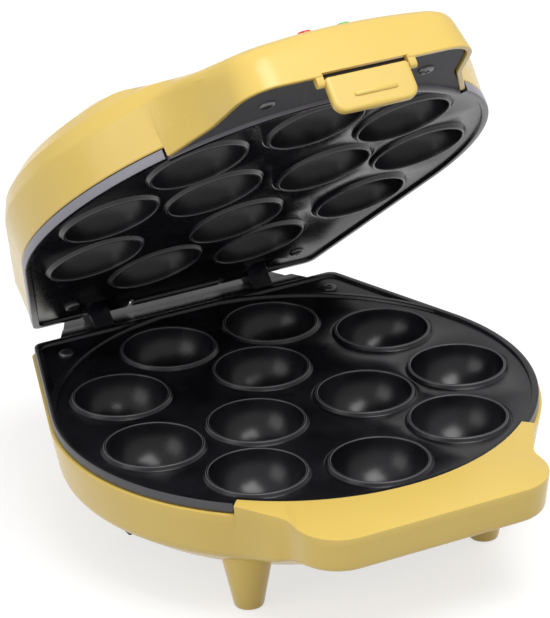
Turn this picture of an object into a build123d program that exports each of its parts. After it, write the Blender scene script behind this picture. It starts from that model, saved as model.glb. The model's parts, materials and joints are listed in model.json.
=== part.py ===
from build123d import *
import os
from math import cos, radians, sin, tan

# Cake pop maker with a hinged lid. Millimetres, +Z up, table at z = 0, hinge at the rear (+Y).
# The Z axis runs through the centre of the well pattern. Lid pieces are modelled shut and
# swung open about the hinge before they are written.

# ---------------------------------------------------------------- cakes and wells
cake_diameter = 40.0
cake_clearance = 0.5
well_radius = cake_diameter / 2 + cake_clearance
outer_well_count = 9
outer_well_margin = 30.83
inner_well_count = 3
well_ring_gap = 45.02
first_outer_angle = -90.0
first_inner_angle = 90.0

# ---------------------------------------------------------------- baking plates
parting_height = 59.0
crest_gap = 0.4
crest_rise = 1.5
crest_width = 0.9
crest_flank = 1.3
slab_thickness = 3.0
cup_wall = 2.2
lip_width = 3.0
plate_radius = 106.7
plate_front_step = 3.3
plate_corner_radius = 5.0
lower_rear_cut = 0.7
upper_rear_reach = 14.3
rear_ledge_reach = 7.5
rear_ledge_half_width = 59.3
rear_ledge_flare = 4.5
rear_apron_reach = 13.5
rear_apron_taper = 7.3
tabs_per_side = 8
tab_start = -44.0
tab_spread = 60.0
tab_width = 1.6
tab_length = 5.0
tab_height = 0.45
side_angle = 18.5
notch_angle = 41.3
notch_clearance = 0.6

outer_ring_radius = plate_radius - outer_well_margin
inner_ring_radius = outer_ring_radius - well_ring_gap
plate_front_radius = plate_radius - plate_front_step
lower_plate_rear = plate_radius - lower_rear_cut
upper_plate_rear = plate_radius + upper_rear_reach
crest_height = parting_height - crest_gap / 2
plate_face = crest_height - crest_rise
plate_under = plate_face - slab_thickness
cup_radius = well_radius + cup_wall
tab_radius = plate_radius - lip_width / 2

# ---------------------------------------------------------------- housings
wall = 2.5
plate_seam = 0.5
seat_gap = 0.05
front_clearance = 0.4
lower_rim_overhang = 1.3
lower_crease_step = 9.0
lower_crease_height = 29.3
lower_shoulder_step = 11.0
lower_shoulder_height = 20.8
floor_step = 16.0
floor_height = 15.8
rear_block_bottom = 25.0
rear_block_length = 26.0
rear_block_chamfer = 6.0

lower_rim_radius = plate_radius + lower_rim_overhang
lower_crease_radius = lower_rim_radius - lower_crease_step
lower_shoulder_radius = lower_crease_radius - lower_shoulder_step
floor_radius = lower_shoulder_radius - floor_step
rear_block_front = lower_plate_rear - rear_block_length
lower_rim_height = plate_under - plate_seam
lower_rear_offset = lower_plate_rear - plate_radius

upper_rim_step = 0.3
upper_crease_flare = 1.1
upper_crease_rise = 24.4
upper_shoulder_steps = (2.9, 9.5, 21.5, 45.5)
upper_shoulder_rises = (7.6, 13.8, 18.4, 20.9)

upper_crease_height = parting_height + upper_crease_rise
upper_shoulder_heights = tuple(upper_crease_height + rise for rise in upper_shoulder_rises)
upper_rim_radius = plate_radius - upper_rim_step
upper_crease_radius = upper_rim_radius + upper_crease_flare
upper_shoulder_radii = tuple(upper_crease_radius - step for step in upper_shoulder_steps)
upper_rim_height = 2 * parting_height - lower_rim_height
upper_rear_offset = upper_plate_rear - plate_radius

# ---------------------------------------------------------------- front grips
lower_grip_reach = 23.7
lower_grip_half_width = 58.8
lower_grip_neck_inset = 3.7
lower_grip_corner = 20.0
lower_grip_draft = 7.0
lower_grip_depth = 17.3
lower_grip_lift = 0.3
lower_grip_drop = 1.7
grip_neck_fillet = 12.0
notch_reach = 1.9

upper_grip_reach = 28.8
upper_grip_half_width = 52.5
upper_grip_neck_inset = 3.2
upper_grip_neck_half_width = 58.5
upper_grip_corner = 17.0
upper_grip_draft = 12.5
upper_grip_gap = 1.0
upper_grip_height = 22.3
upper_grip_rise = 12.3
upper_grip_round = 5.0
panel_recess = 0.8
panel_thickness = 2.0
panel_margin = 0.8

lower_grip_top = parting_height + lower_grip_lift
lower_grip_foot = lower_grip_top - lower_grip_depth
upper_grip_lip = parting_height + upper_grip_gap
notch_radius = plate_radius + notch_reach
lower_grip_front = plate_radius + lower_grip_reach
lower_grip_neck = plate_radius - lower_grip_neck_inset
upper_grip_front = plate_radius + upper_grip_reach
upper_grip_neck = plate_radius - upper_grip_neck_inset

# ---------------------------------------------------------------- hinge
hinge_inset = 0.8
hinge_lift = 5.96
hinge_eye_radius = 5.5
hinge_pin_radius = 2.5
pin_clearance = 0.05
ear_inner = 36.0
ear_width = 10.0
knuckle_width = 10.7
knuckle_gap = 0.8
ear_notch_clearance = 0.5
pin_head_radius = 4.0
pin_head_thickness = 1.5
pin_end_play = 0.3
lid_open_angle = 42.23

hinge_y = upper_plate_rear - hinge_inset
hinge_height = parting_height + hinge_lift

# ---------------------------------------------------------------- latch
latch_pivot_inset = 1.9
latch_pivot_drop = 1.0
latch_pin_radius = 1.2
latch_thickness = 3.4
latch_top_half_width = 18.0
latch_half_width = 19.3
latch_widest_drop = 11.0
latch_top_lift = 1.2
latch_drop = 20.0
latch_corner = 6.0
latch_top_corner = 1.5
latch_tooth_reach = 1.6
latch_tooth_height = 1.2
latch_tooth_half_width = 9.0
latch_bar_length = 19.0
latch_bar_width = 1.5
latch_bar_rise = 0.5
latch_bar_drop = 9.8
latch_ear_radius = 2.2
latch_ear_width = 3.0
latch_side_gap = 0.5
latch_swing_gap = 0.6

latch_pivot_y = latch_pivot_inset - upper_grip_front
latch_pivot_height = parting_height - latch_pivot_drop
latch_widest_height = parting_height - latch_widest_drop
latch_top = parting_height + latch_top_lift
latch_bottom = parting_height - latch_drop
latch_bar_height = parting_height - latch_bar_drop

# ---------------------------------------------------------------- feet and underside
foot_side_inset = 49.0
front_foot_inset = 43.3
rear_foot_inset = 18.7
foot_tip_radius = 6.5
foot_top_radius = 10.5
foot_wall = 3.0
foot_reach = 32.0
pad_radius = 4.5
pad_thickness = 2.0
pad_proud = 0.4
pad_clearance = 0.1
vent_count = 6
vent_length = 34.0
vent_width = 3.0
vent_pitch = 9.0
cleat_y = 8.0
cleat_width = 20.0
cleat_inset = 48.7
cleat_reach = 30.0
cleat_arm = 2.5
cleat_root_length = 11.0
cleat_lip = 3.3
cleat_round = 2.0
inlet_height = 38.0
inlet_radius = 5.0
grommet_flange = 8.0
grommet_flange_thickness = 2.0
grommet_bore = 3.2

foot_x = plate_radius - foot_side_inset
front_foot_y = front_foot_inset - plate_radius
rear_foot_y = plate_radius - rear_foot_inset
cleat_root = plate_radius - cleat_inset

# ---------------------------------------------------------------- screws
screw_radius = 1.6
screw_head_radius = 3.4
screw_head_height = 1.6
screw_clearance = 0.1
driver_slot_width = 0.9
driver_slot_depth = 0.8
pillar_radius = 4.5
lower_screw_side_inset = 39.1
lower_screw_rear_inset = 14.7
lower_screw_length = 14.0
upper_screw_side_inset = 49.1
upper_screw_rear_inset = 18.6
upper_screw_length = 16.0
panel_screw_x = 36.8
panel_screw_inset = 21.3
panel_screw_length = 10.0
small_screw_length = 7.0

lower_screw_x = plate_radius - lower_screw_side_inset
lower_screw_y = lower_plate_rear - lower_screw_rear_inset
upper_screw_x = plate_radius - upper_screw_side_inset
upper_screw_y = upper_plate_rear - upper_screw_rear_inset
panel_screw_y = panel_screw_inset - upper_grip_front

# ---------------------------------------------------------------- heaters
heater_inset = 22.47
heater_tube_radius = 3.25
heater_drop = 13.8
heater_gap_angle = 50.0
heater_pin_radius = 1.2
heater_pin_length = 15.0
bead_length = 9.0
strap_inner_reach = 19.4
strap_outer_reach = 4.6
strap_width = 9.0
strap_thickness = 1.2
strap_screw_inset = 13.4
strap_count = 3
strap_first_angle = -90.0
boss_radius = 3.6
shield_inset = 18.7
shield_thickness = 0.8
shield_rim = 5.0
shield_gap = 2.4
centre_boss_radius = 4.2
bead_radius = 2.6
bead_clearance = 0.1

heater_radius = outer_ring_radius - heater_inset
strap_inner = heater_radius - strap_inner_reach
strap_outer = heater_radius + strap_outer_reach
strap_screw_radius = heater_radius - strap_screw_inset
shield_radius = plate_radius - shield_inset
heater_height = parting_height - heater_drop
strap_top = heater_height - heater_tube_radius - seat_gap
shield_top = parting_height - cup_radius - shield_gap

# ---------------------------------------------------------------- electrical parts
thermostat_radius = 8.0
thermostat_height = 6.0
thermostat_y = -40.0
fuse_radius = 2.2
fuse_length = 22.0
fuse_y = 40.0
clamp_width = 6.0
clamp_thickness = 0.8
terminal_length = 32.0
terminal_width = 16.0
terminal_height = 9.0
terminal_ways = 3
terminal_y = 52.0
terminal_bore = 2.0
lamp_x = 9.0
lamp_inset = 22.5
lamp_radius = 3.0
lamp_clearance = 0.1
lamp_proud = 1.0
lamp_flange = 1.2
lamp_holder_length = 40.0
lamp_holder_width = 12.0
lamp_holder_thickness = 2.5
lamp_holder_drop = 8.0

lamp_y = lamp_inset - upper_grip_front


# ---------------------------------------------------------------- shared shapes
STANDING = (Align.CENTER, Align.CENTER, Align.MIN)
HANGING = (Align.CENTER, Align.CENTER, Align.MAX)
LEVEL = (Align.MIN, Align.CENTER, Align.MIN)
LEVEL_HANGING = (Align.MIN, Align.CENTER, Align.MAX)


def well_centres():
    """Places of the wells: an outer and an inner ring."""
    rings = (
        (outer_well_count, outer_ring_radius, first_outer_angle),
        (inner_well_count, inner_ring_radius, first_inner_angle),
    )
    places = []
    for count, radius, first in rings:
        for index in range(count):
            angle = radians(first + 360 / count * index)
            places.append((radius * cos(angle), radius * sin(angle), parting_height))
    return places


def body_outline(radius, rear, corner):
    """Face of a round body with straight sides that run in to a flat rear edge."""
    nx, ny = cos(radians(side_angle)), sin(radians(side_angle))
    corner_y = rear - corner
    corner_x = (radius - corner - corner_y * ny) / nx
    middle = radians((side_angle + 90) / 2)
    with BuildLine() as outline:
        ThreePointArc((-radius * nx, radius * ny), (0, -radius), (radius * nx, radius * ny))
        Line((radius * nx, radius * ny), (corner_x + corner * nx, corner_y + corner * ny))
        ThreePointArc(
            (corner_x + corner * nx, corner_y + corner * ny),
            (corner_x + corner * cos(middle), corner_y + corner * sin(middle)),
            (corner_x, rear),
        )
        Line((corner_x, rear), (-corner_x, rear))
        ThreePointArc(
            (-corner_x, rear),
            (-corner_x - corner * cos(middle), corner_y + corner * sin(middle)),
            (-corner_x - corner * nx, corner_y + corner * ny),
        )
        Line((-corner_x - corner * nx, corner_y + corner * ny), (-radius * nx, radius * ny))
    make_face(outline.edges())


def front_sector(radius, angle):
    """Ring sector in front of the plates, outside the given radius."""
    reach = 2 * notch_radius
    with BuildLine() as outline:
        Polyline(
            (0, 0),
            (reach * sin(radians(angle)), -reach * cos(radians(angle))),
            (0, -2 * reach),
            (-reach * sin(radians(angle)), -reach * cos(radians(angle))),
            close=True,
        )
    make_face(outline.edges())
    Circle(radius, mode=Mode.SUBTRACT)


def plate_outline(rear, inset):
    """Face of a baking plate, set in by a margin all round."""
    body_outline(plate_radius - inset, rear - inset, plate_corner_radius)
    with BuildSketch(mode=Mode.PRIVATE) as relief:
        front_sector(plate_front_radius - inset, notch_angle + notch_clearance)
    add(relief.sketch, mode=Mode.SUBTRACT)


def plate_casting(rear):
    """One baking plate, wells up: slab, cups, rim lip, crests and locating tabs."""
    with Locations(*well_centres()):
        Sphere(cup_radius)
    split(bisect_by=Plane.XY.offset(plate_face), keep=Keep.BOTTOM)
    with BuildSketch(Plane.XY.offset(plate_under)) as slab:
        plate_outline(rear, 0)
    extrude(slab.sketch, amount=slab_thickness)
    with BuildSketch(mode=Mode.PRIVATE) as inside:
        plate_outline(rear, lip_width)
    with BuildSketch(Plane.XY.offset(plate_face)) as lip:
        plate_outline(rear, 0)
        add(inside.sketch, mode=Mode.SUBTRACT)
    extrude(lip.sketch, amount=crest_rise)
    crest_top = well_radius + crest_width
    crest_low = (0, 0, plate_face - parting_height + crest_rise / 2)
    with Locations(*well_centres()):
        with Locations(crest_low):
            Cone(crest_top + crest_flank, crest_top, crest_rise)
    with Locations(*well_centres()):
        Sphere(well_radius, mode=Mode.SUBTRACT)
    with Locations((0, 0, plate_under)):
        for start in (tab_start, 180 - tab_start - tab_spread):
            with PolarLocations(tab_radius, tabs_per_side, start, tab_spread, endpoint=True):
                Box(tab_width, tab_length, 2 * tab_height)
        with PolarLocations(strap_screw_radius, strap_count, strap_first_angle):
            Cylinder(boss_radius, plate_under - strap_top - seat_gap, align=HANGING)
        Cylinder(centre_boss_radius, plate_under - shield_top - seat_gap, align=HANGING)
    with Locations((0, 0, strap_top)):
        with PolarLocations(strap_screw_radius, strap_count, strap_first_angle):
            Cylinder(screw_radius, small_screw_length, align=STANDING, mode=Mode.SUBTRACT)
    with Locations((0, 0, shield_top)):
        Cylinder(screw_radius, small_screw_length, align=STANDING, mode=Mode.SUBTRACT)


def grip_outline(front, half_width, neck, neck_half_width, corner, inset):
    """Face of a front grip, from the notches in the round body to its flat front edge."""
    ray = (sin(radians(notch_angle)), -cos(radians(notch_angle)))
    root = (ray[0] * notch_radius / 2, ray[1] * notch_radius / 2)
    notch = (ray[0] * notch_radius, ray[1] * notch_radius)
    with BuildLine() as outline:
        Polyline(
            (-root[0], root[1]),
            (-notch[0], notch[1]),
            (-neck_half_width, -neck),
            (-half_width, -front),
            (half_width, -front),
            (neck_half_width, -neck),
            notch,
            root,
            close=True,
        )
    make_face(outline.edges())
    fillet(vertices().group_by(Axis.Y)[1], radius=grip_neck_fillet)
    fillet(vertices().group_by(Axis.Y)[0], radius=corner)
    if inset > 0:
        offset(amount=-inset)


def yz_slope(y, z, other_y, other_z):
    """Plane along X through two points given in Y and Z, facing up."""
    run, rise = other_y - y, other_z - z
    turn = 1 if run > 0 else -1
    return Plane(origin=(0, y, z), x_dir=(1, 0, 0), z_dir=(0, -rise * turn, run * turn))


def ray_point(angle, radius):
    """Point at a radius and an angle in degrees."""
    return (radius * cos(radians(angle)), radius * sin(radians(angle)))


def body_stack(levels, rear_offset, inset, lift, ruled, mode):
    """Loft a stack of body outlines, given as (radius, height)."""
    sections = []
    for radius, height in levels:
        with BuildSketch(Plane.XY.offset(height + lift)) as section:
            body_outline(radius - inset, radius - inset + rear_offset, plate_corner_radius)
        sections.append(section.sketch.face())
    loft(sections, ruled=ruled, mode=mode)


def pan_screw(length):
    """Slotted pan-head screw, head up, with its seat at the local origin."""
    Cylinder(screw_head_radius, screw_head_height, align=STANDING)
    Cylinder(screw_radius, length, align=HANGING)
    with Locations((0, 0, screw_head_height)):
        Box(3 * screw_head_radius, driver_slot_width, 2 * driver_slot_depth, mode=Mode.SUBTRACT)


def upright_screw(x, y, z, length):
    """Pan-head screw driven from below, with its seat at a height."""
    with Locations(Location((x, y, z), (180, 0, 0))):
        pan_screw(length)


def mirrored_pair(x, y, z):
    """Two places, mirrored left and right."""
    return ((x, y, z), (-x, y, z))


def hinge_eye(start, width, root_front, root_rear, root_low, root_high):
    """Pair of hinge arms that run from the rear of a plate to the pin."""
    for x in (start, -start - width):
        with BuildSketch(Plane.YZ.offset(x)) as arm:
            with Locations((hinge_y, hinge_height)):
                Circle(hinge_eye_radius)
            with Locations(((root_front + root_rear) / 2, (root_low + root_high) / 2)):
                Rectangle(root_rear - root_front, root_high - root_low)
            make_hull()
        extrude(arm.sketch, amount=width)


def pin_bore(start, width):
    """Running bore for the hinge pin through a pair of arms."""
    for x in (start, -start - width):
        x_bar(x, width, hinge_pin_radius + pin_clearance, hinge_y, hinge_height, Mode.SUBTRACT)


def x_bar(start, length, radius, y, z, mode=Mode.ADD):
    """Round bar along X."""
    with BuildSketch(Plane.YZ.offset(start)) as end:
        with Locations((y, z)):
            Circle(radius)
    extrude(end.sketch, amount=length, mode=mode)


# ================================================================ baking plates
knuckle_inner = ear_inner - knuckle_gap - knuckle_width
ledge_rear = lower_plate_rear + rear_ledge_reach
ledge_flank = rear_ledge_half_width + rear_ledge_flare
upper_face = 2 * parting_height - plate_face
upper_back = 2 * parting_height - plate_under


def rear_ledge(front, margin):
    """Face of the step at the rear of the base, between its flared ends."""
    Polygon(
        (-ledge_flank - margin, front),
        (ledge_flank + margin, front),
        (ledge_flank + margin, lower_plate_rear),
        (rear_ledge_half_width + margin, ledge_rear + margin),
        (-rear_ledge_half_width - margin, ledge_rear + margin),
        (-ledge_flank - margin, lower_plate_rear),
        align=None,
    )


def rear_apron():
    """Low flange of the lower plate that runs back below the hinge axis."""
    Polygon(
        (-rear_ledge_half_width, ledge_rear - lip_width),
        (rear_ledge_half_width, ledge_rear - lip_width),
        (rear_ledge_half_width, ledge_rear),
        (rear_ledge_half_width - rear_apron_taper, ledge_rear + rear_apron_reach),
        (rear_apron_taper - rear_ledge_half_width, ledge_rear + rear_apron_reach),
        (-rear_ledge_half_width, ledge_rear),
        align=None,
    )


with BuildPart() as lower_plate:
    plate_casting(lower_plate_rear)
    with BuildSketch(Plane.XY.offset(plate_under)):
        rear_ledge(lower_plate_rear - lip_width, 0)
    extrude(amount=crest_height - plate_under)
    with BuildSketch(Plane.XY.offset(plate_under)):
        rear_apron()
    extrude(amount=plate_face - plate_under)
    hinge_eye(ear_inner, ear_width, lower_plate_rear - 1, ledge_rear, plate_under, plate_face)
    pin_bore(ear_inner, ear_width)
    with Locations(*mirrored_pair(lower_screw_x, lower_screw_y, plate_under)):
        Cylinder(screw_radius + screw_clearance, 3 * slab_thickness, mode=Mode.SUBTRACT)

notch_front = lower_plate_rear - 1 - ear_notch_clearance
notch_length = hinge_y + hinge_eye_radius - notch_front
notch_half = ear_width / 2 + ear_notch_clearance
ear_middle = ear_inner + ear_width / 2
pin_start = knuckle_inner - pin_end_play - pin_head_thickness
pin_end = ear_inner + ear_width + pin_end_play
hinge_reach = pin_end + pin_head_thickness - pin_start + 2 * ear_notch_clearance
hinge_reach_middle = (pin_start + pin_end + pin_head_thickness) / 2

with BuildPart() as upper_plate:
    plate_casting(upper_plate_rear)
    mirror(about=Plane.XY.offset(parting_height), mode=Mode.REPLACE)
    with Locations(*mirrored_pair(ear_middle, notch_front + notch_length / 2, parting_height)):
        Box(2 * notch_half, notch_length, 4 * slab_thickness, mode=Mode.SUBTRACT)
    relief_front = hinge_y - pin_head_radius - ear_notch_clearance
    with Locations(*mirrored_pair(hinge_reach_middle, relief_front, parting_height)):
        with Locations((0, hinge_eye_radius, 0)):
            Box(hinge_reach, 2 * hinge_eye_radius, 4 * slab_thickness, mode=Mode.SUBTRACT)
    knuckle_front = upper_plate_rear - 2 * hinge_eye_radius
    hinge_eye(knuckle_inner, knuckle_width, knuckle_front, upper_plate_rear - lip_width,
              upper_face, upper_back)
    pin_bore(knuckle_inner, knuckle_width)
    with Locations(*mirrored_pair(upper_screw_x, upper_screw_y, upper_face)):
        Cylinder(screw_radius + screw_clearance, 3 * slab_thickness, mode=Mode.SUBTRACT)

# ================================================================ lower housing
lower_levels = (
    (lower_rim_radius, lower_rim_height),
    (lower_crease_radius, lower_crease_height),
    (lower_shoulder_radius, lower_shoulder_height),
    (floor_radius, floor_height),
)
pocket_radius = plate_front_radius + front_clearance
block_rear = ledge_rear + lower_rim_overhang
lower_grip_slope = yz_slope(-pocket_radius, lower_grip_top,
                            -lower_grip_front, lower_grip_top - lower_grip_drop)
lower_grip_foot_y = (lower_grip_top - lower_grip_foot) * tan(radians(lower_grip_draft))
lower_grip_under = yz_slope(-lower_grip_front + lower_grip_foot_y, lower_grip_foot,
                            -lower_crease_radius, lower_crease_height)


def lower_grip_block(inset):
    """Front grip of the base: a shelf with drafted walls and a sloping underside."""
    with BuildSketch(Plane.XY.offset(lower_grip_top)) as outline:
        grip_outline(lower_grip_front, lower_grip_half_width, lower_grip_neck,
                     lower_grip_half_width, lower_grip_corner, inset)
    depth = lower_grip_top - lower_crease_height - inset
    extrude(outline.sketch, amount=-depth, taper=lower_grip_draft)
    split(bisect_by=lower_grip_slope.offset(-inset), keep=Keep.BOTTOM)
    split(bisect_by=lower_grip_under.offset(inset), keep=Keep.TOP)


with BuildPart() as lower_grip_shell:
    lower_grip_block(0)

with BuildPart() as lower_grip_hollow:
    lower_grip_block(wall)
    with Locations((0, 0, lower_rim_height - wall)):
        Cylinder(pocket_radius + wall, lower_grip_top, align=STANDING, mode=Mode.SUBTRACT)

with BuildPart() as lower_housing:
    body_stack(lower_levels, lower_rear_offset, 0, 0, True, Mode.ADD)
    with BuildSketch(Plane.XY.offset(rear_block_bottom)):
        rear_ledge(rear_block_front, lower_rim_overhang)
    extrude(amount=lower_rim_height - rear_block_bottom)
    low_edges = edges().filter_by(Axis.X).group_by(Axis.Y)[-1].sort_by(Axis.Z)[0]
    chamfer(low_edges, length=rear_block_chamfer)
    add(lower_grip_shell.part)
    for foot_y in (front_foot_y, rear_foot_y):
        with Locations(*mirrored_pair(foot_x, foot_y, pad_proud)):
            Cone(foot_tip_radius, foot_top_radius, foot_reach, align=STANDING)
    body_stack(lower_levels, lower_rear_offset, wall, wall, True, Mode.SUBTRACT)
    with BuildSketch(Plane.XY.offset(rear_block_bottom + wall)):
        rear_ledge(rear_block_front, lower_rim_overhang - wall)
    extrude(amount=lower_rim_height - rear_block_bottom - wall, mode=Mode.SUBTRACT)
    for foot_y in (front_foot_y, rear_foot_y):
        with Locations(*mirrored_pair(foot_x, foot_y, pad_proud + 2 * foot_wall)):
            Cone(foot_tip_radius - foot_wall, foot_top_radius - foot_wall,
                 foot_reach - 2 * foot_wall, align=STANDING, mode=Mode.SUBTRACT)
        with Locations(*mirrored_pair(foot_x, foot_y, pad_proud)):
            Cylinder(pad_radius + pad_clearance, pad_thickness - pad_proud, align=STANDING,
                     mode=Mode.SUBTRACT)
    add(lower_grip_hollow.part, mode=Mode.SUBTRACT)
    with BuildSketch(Plane.XY.offset(lower_rim_height - wall)):
        front_sector(pocket_radius, notch_angle)
        Circle(pocket_radius + wall, mode=Mode.INTERSECT)
    extrude(amount=lower_grip_top - lower_rim_height + wall)
    with BuildSketch(Plane.XY.offset(lower_rim_height)):
        Circle(pocket_radius)
    extrude(amount=lower_grip_top, mode=Mode.SUBTRACT)
    pillar_low = lower_crease_height + wall / 2
    with Locations(*mirrored_pair(lower_screw_x, lower_screw_y, pillar_low)):
        Cylinder(pillar_radius, plate_under - seat_gap - pillar_low, align=STANDING)
    with Locations(*mirrored_pair(lower_screw_x, lower_screw_y, plate_face)):
        Cylinder(screw_radius, lower_screw_length + wall, align=HANGING, mode=Mode.SUBTRACT)
    with BuildSketch(Plane.XY.offset(floor_height)):
        with GridLocations(0, vent_pitch, 1, vent_count):
            SlotOverall(vent_length, vent_width)
        with Locations((cleat_root + cleat_root_length / 2, cleat_y),
                       (-cleat_root - cleat_root_length / 2, cleat_y)):
            Circle(screw_radius)
    extrude(amount=wall, mode=Mode.SUBTRACT)
    with BuildSketch(Plane.XZ.offset(-block_rear)):
        with Locations((0, inlet_height)):
            Circle(inlet_radius)
    extrude(amount=2 * wall, mode=Mode.SUBTRACT)

# ================================================================ upper housing
wall_levels = (
    (upper_rim_radius, upper_rim_height),
    (upper_crease_radius, upper_crease_height),
)
dome_levels = (wall_levels[1], *zip(upper_shoulder_radii, upper_shoulder_heights))
upper_grip_slope = Plane(
    origin=(0, -upper_grip_front, upper_grip_lip + upper_grip_height),
    x_dir=(1, 0, 0),
    z_dir=(0, -sin(radians(upper_grip_rise)), cos(radians(upper_grip_rise))),
)
panel_low = upper_grip_lip + panel_recess
panel_high = panel_low + panel_thickness
latch_window_half = latch_half_width + latch_side_gap
latch_swing = ((latch_top - latch_pivot_height) ** 2 + (latch_thickness / 2) ** 2) ** 0.5
window_top = latch_pivot_height + latch_swing + latch_swing_gap
hinge_window_top = hinge_height + hinge_eye_radius + wall


def upper_grip_block(inset):
    """Front grip of the lid: a lip with walls that lean in and a top that rises to the rear."""
    with BuildSketch(Plane.XY.offset(upper_grip_lip)) as outline:
        grip_outline(upper_grip_front, upper_grip_half_width, upper_grip_neck,
                     upper_grip_neck_half_width, upper_grip_corner, inset)
    extrude(outline.sketch, amount=2 * upper_grip_height, taper=upper_grip_draft)
    split(bisect_by=upper_grip_slope.offset(-inset), keep=Keep.BOTTOM)


def on_plane(edge, plane):
    """True where the middle of an edge lies on a plane."""
    return abs(plane.to_local_coords(edge @ 0.5).Z) < 0.01


with BuildPart() as upper_grip_shell:
    upper_grip_block(0)
    top_edges = edges().filter_by(lambda edge: on_plane(edge, upper_grip_slope))
    front_edges = top_edges.filter_by(lambda edge: (edge @ 0.5).Y < -upper_grip_neck)
    fillet(front_edges, radius=upper_grip_round)

with BuildPart() as upper_grip_hollow:
    upper_grip_block(wall)

with BuildPart() as upper_shell:
    body_stack(wall_levels, upper_rear_offset, 0, 0, True, Mode.ADD)
    body_stack(dome_levels, upper_rear_offset, 0, 0, False, Mode.ADD)
    split(bisect_by=upper_grip_slope, keep=Keep.BOTTOM)
    add(upper_grip_shell.part)

with BuildPart() as upper_hollow:
    body_stack(wall_levels, upper_rear_offset, wall, -wall, True, Mode.ADD)
    body_stack(dome_levels, upper_rear_offset, wall, -wall, False, Mode.ADD)
    split(bisect_by=upper_grip_slope.offset(-wall), keep=Keep.BOTTOM)

with BuildPart() as upper_pillars:
    with Locations(*mirrored_pair(upper_screw_x, upper_screw_y, upper_back + seat_gap)):
        Cylinder(pillar_radius, upper_crease_height, align=STANDING)
    with Locations(*mirrored_pair(panel_screw_x, panel_screw_y, panel_high + seat_gap)):
        Cylinder(pillar_radius, upper_crease_height, align=STANDING)
    add(upper_shell.part, mode=Mode.INTERSECT)

with BuildPart() as upper_housing:
    add(upper_shell.part)
    add(upper_hollow.part, mode=Mode.SUBTRACT)
    add(upper_grip_hollow.part, mode=Mode.SUBTRACT)
    with Locations((0, 0, upper_grip_lip)):
        Cylinder(pocket_radius, upper_rim_height - upper_grip_lip, align=STANDING,
                 mode=Mode.SUBTRACT)
    add(upper_pillars.part)
    for x, y, seat, length in (
        (upper_screw_x, upper_screw_y, upper_back, upper_screw_length),
        (panel_screw_x, panel_screw_y, panel_high, panel_screw_length),
    ):
        with Locations(*mirrored_pair(x, y, seat)):
            Cylinder(screw_radius, length, align=STANDING, mode=Mode.SUBTRACT)
    with Locations(*mirrored_pair(hinge_reach_middle, hinge_y, upper_grip_lip)):
        Box(hinge_reach, 3 * hinge_eye_radius, hinge_window_top - upper_grip_lip,
            align=STANDING, mode=Mode.SUBTRACT)
    with Locations((0, -upper_grip_front, upper_grip_lip)):
        Box(2 * latch_window_half, 3 * wall, window_top - upper_grip_lip, align=STANDING,
            mode=Mode.SUBTRACT)
    for x in (latch_window_half, -latch_window_half - latch_ear_width):
        with BuildSketch(Plane.YZ.offset(x)) as ear:
            with Locations((latch_pivot_y, latch_pivot_height)):
                Circle(latch_ear_radius)
            with Locations((latch_pivot_y, upper_grip_lip + latch_ear_radius / 2)):
                Rectangle(2 * latch_ear_radius, latch_ear_radius)
            make_hull()
        extrude(ear.sketch, amount=latch_ear_width)
    latch_bore_start = -latch_window_half - latch_ear_width
    x_bar(latch_bore_start, -2 * latch_bore_start, latch_pin_radius + pin_clearance,
          latch_pivot_y, latch_pivot_height, Mode.SUBTRACT)
    with Locations(*mirrored_pair(lamp_x, lamp_y, upper_grip_lip)):
        Cylinder(lamp_radius + lamp_clearance, 2 * upper_grip_height, align=STANDING,
                 mode=Mode.SUBTRACT)

with BuildPart() as handle_panel:
    with BuildSketch(Plane.XY.offset(panel_low)):
        grip_outline(upper_grip_front, upper_grip_half_width, upper_grip_neck,
                     upper_grip_neck_half_width, upper_grip_corner, wall + panel_margin)
        Circle(pocket_radius, mode=Mode.SUBTRACT)
        with Locations((0, -upper_grip_front)):
            Rectangle(2 * (latch_window_half + latch_ear_width + panel_margin),
                      4 * wall, mode=Mode.SUBTRACT)
        with Locations((panel_screw_x, panel_screw_y), (-panel_screw_x, panel_screw_y)):
            Circle(screw_radius + screw_clearance, mode=Mode.SUBTRACT)
    extrude(amount=panel_thickness)

# ================================================================ latch and its pin
latch_inner_y = latch_pivot_y + latch_thickness / 2
latch_outer_y = latch_pivot_y - latch_thickness / 2

with BuildPart() as latch:
    with BuildSketch(Plane.XZ.offset(-latch_outer_y)):
        with BuildLine():
            Polyline(
                (latch_top_half_width, latch_top),
                (latch_half_width, latch_widest_height),
                (latch_half_width, latch_bottom),
                (-latch_half_width, latch_bottom),
                (-latch_half_width, latch_widest_height),
                (-latch_top_half_width, latch_top),
                close=True,
            )
        make_face()
        fillet(vertices().group_by(Axis.Y)[0], radius=latch_corner)
        fillet(vertices().group_by(Axis.Y)[-1], radius=latch_top_corner)
    extrude(amount=-latch_thickness)
    with Locations((0, latch_inner_y, latch_bottom)):
        Box(2 * latch_tooth_half_width, 2 * latch_tooth_reach, latch_tooth_height,
            align=STANDING)
    with BuildSketch(Plane.XZ.offset(-latch_outer_y)):
        with Locations((0, latch_bar_height)):
            SlotOverall(latch_bar_length, latch_bar_width)
    extrude(amount=latch_bar_rise)
    x_bar(-latch_half_width, 2 * latch_half_width, latch_pin_radius + pin_clearance,
          latch_pivot_y, latch_pivot_height, Mode.SUBTRACT)

with BuildPart() as latch_pin:
    x_bar(latch_bore_start, -2 * latch_bore_start, latch_pin_radius, latch_pivot_y,
          latch_pivot_height)

# ================================================================ hinge pins
pins = {}
for side, sign in (("left", -1), ("right", 1)):
    with BuildPart() as hinge_pin:
        x_bar(pin_start, pin_end - pin_start, hinge_pin_radius, hinge_y, hinge_height)
        x_bar(pin_end, pin_head_thickness, pin_head_radius, hinge_y, hinge_height)
        if sign < 0:
            mirror(about=Plane.YZ, mode=Mode.REPLACE)
    pins[f"hinge_pin_{side}"] = hinge_pin

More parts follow.
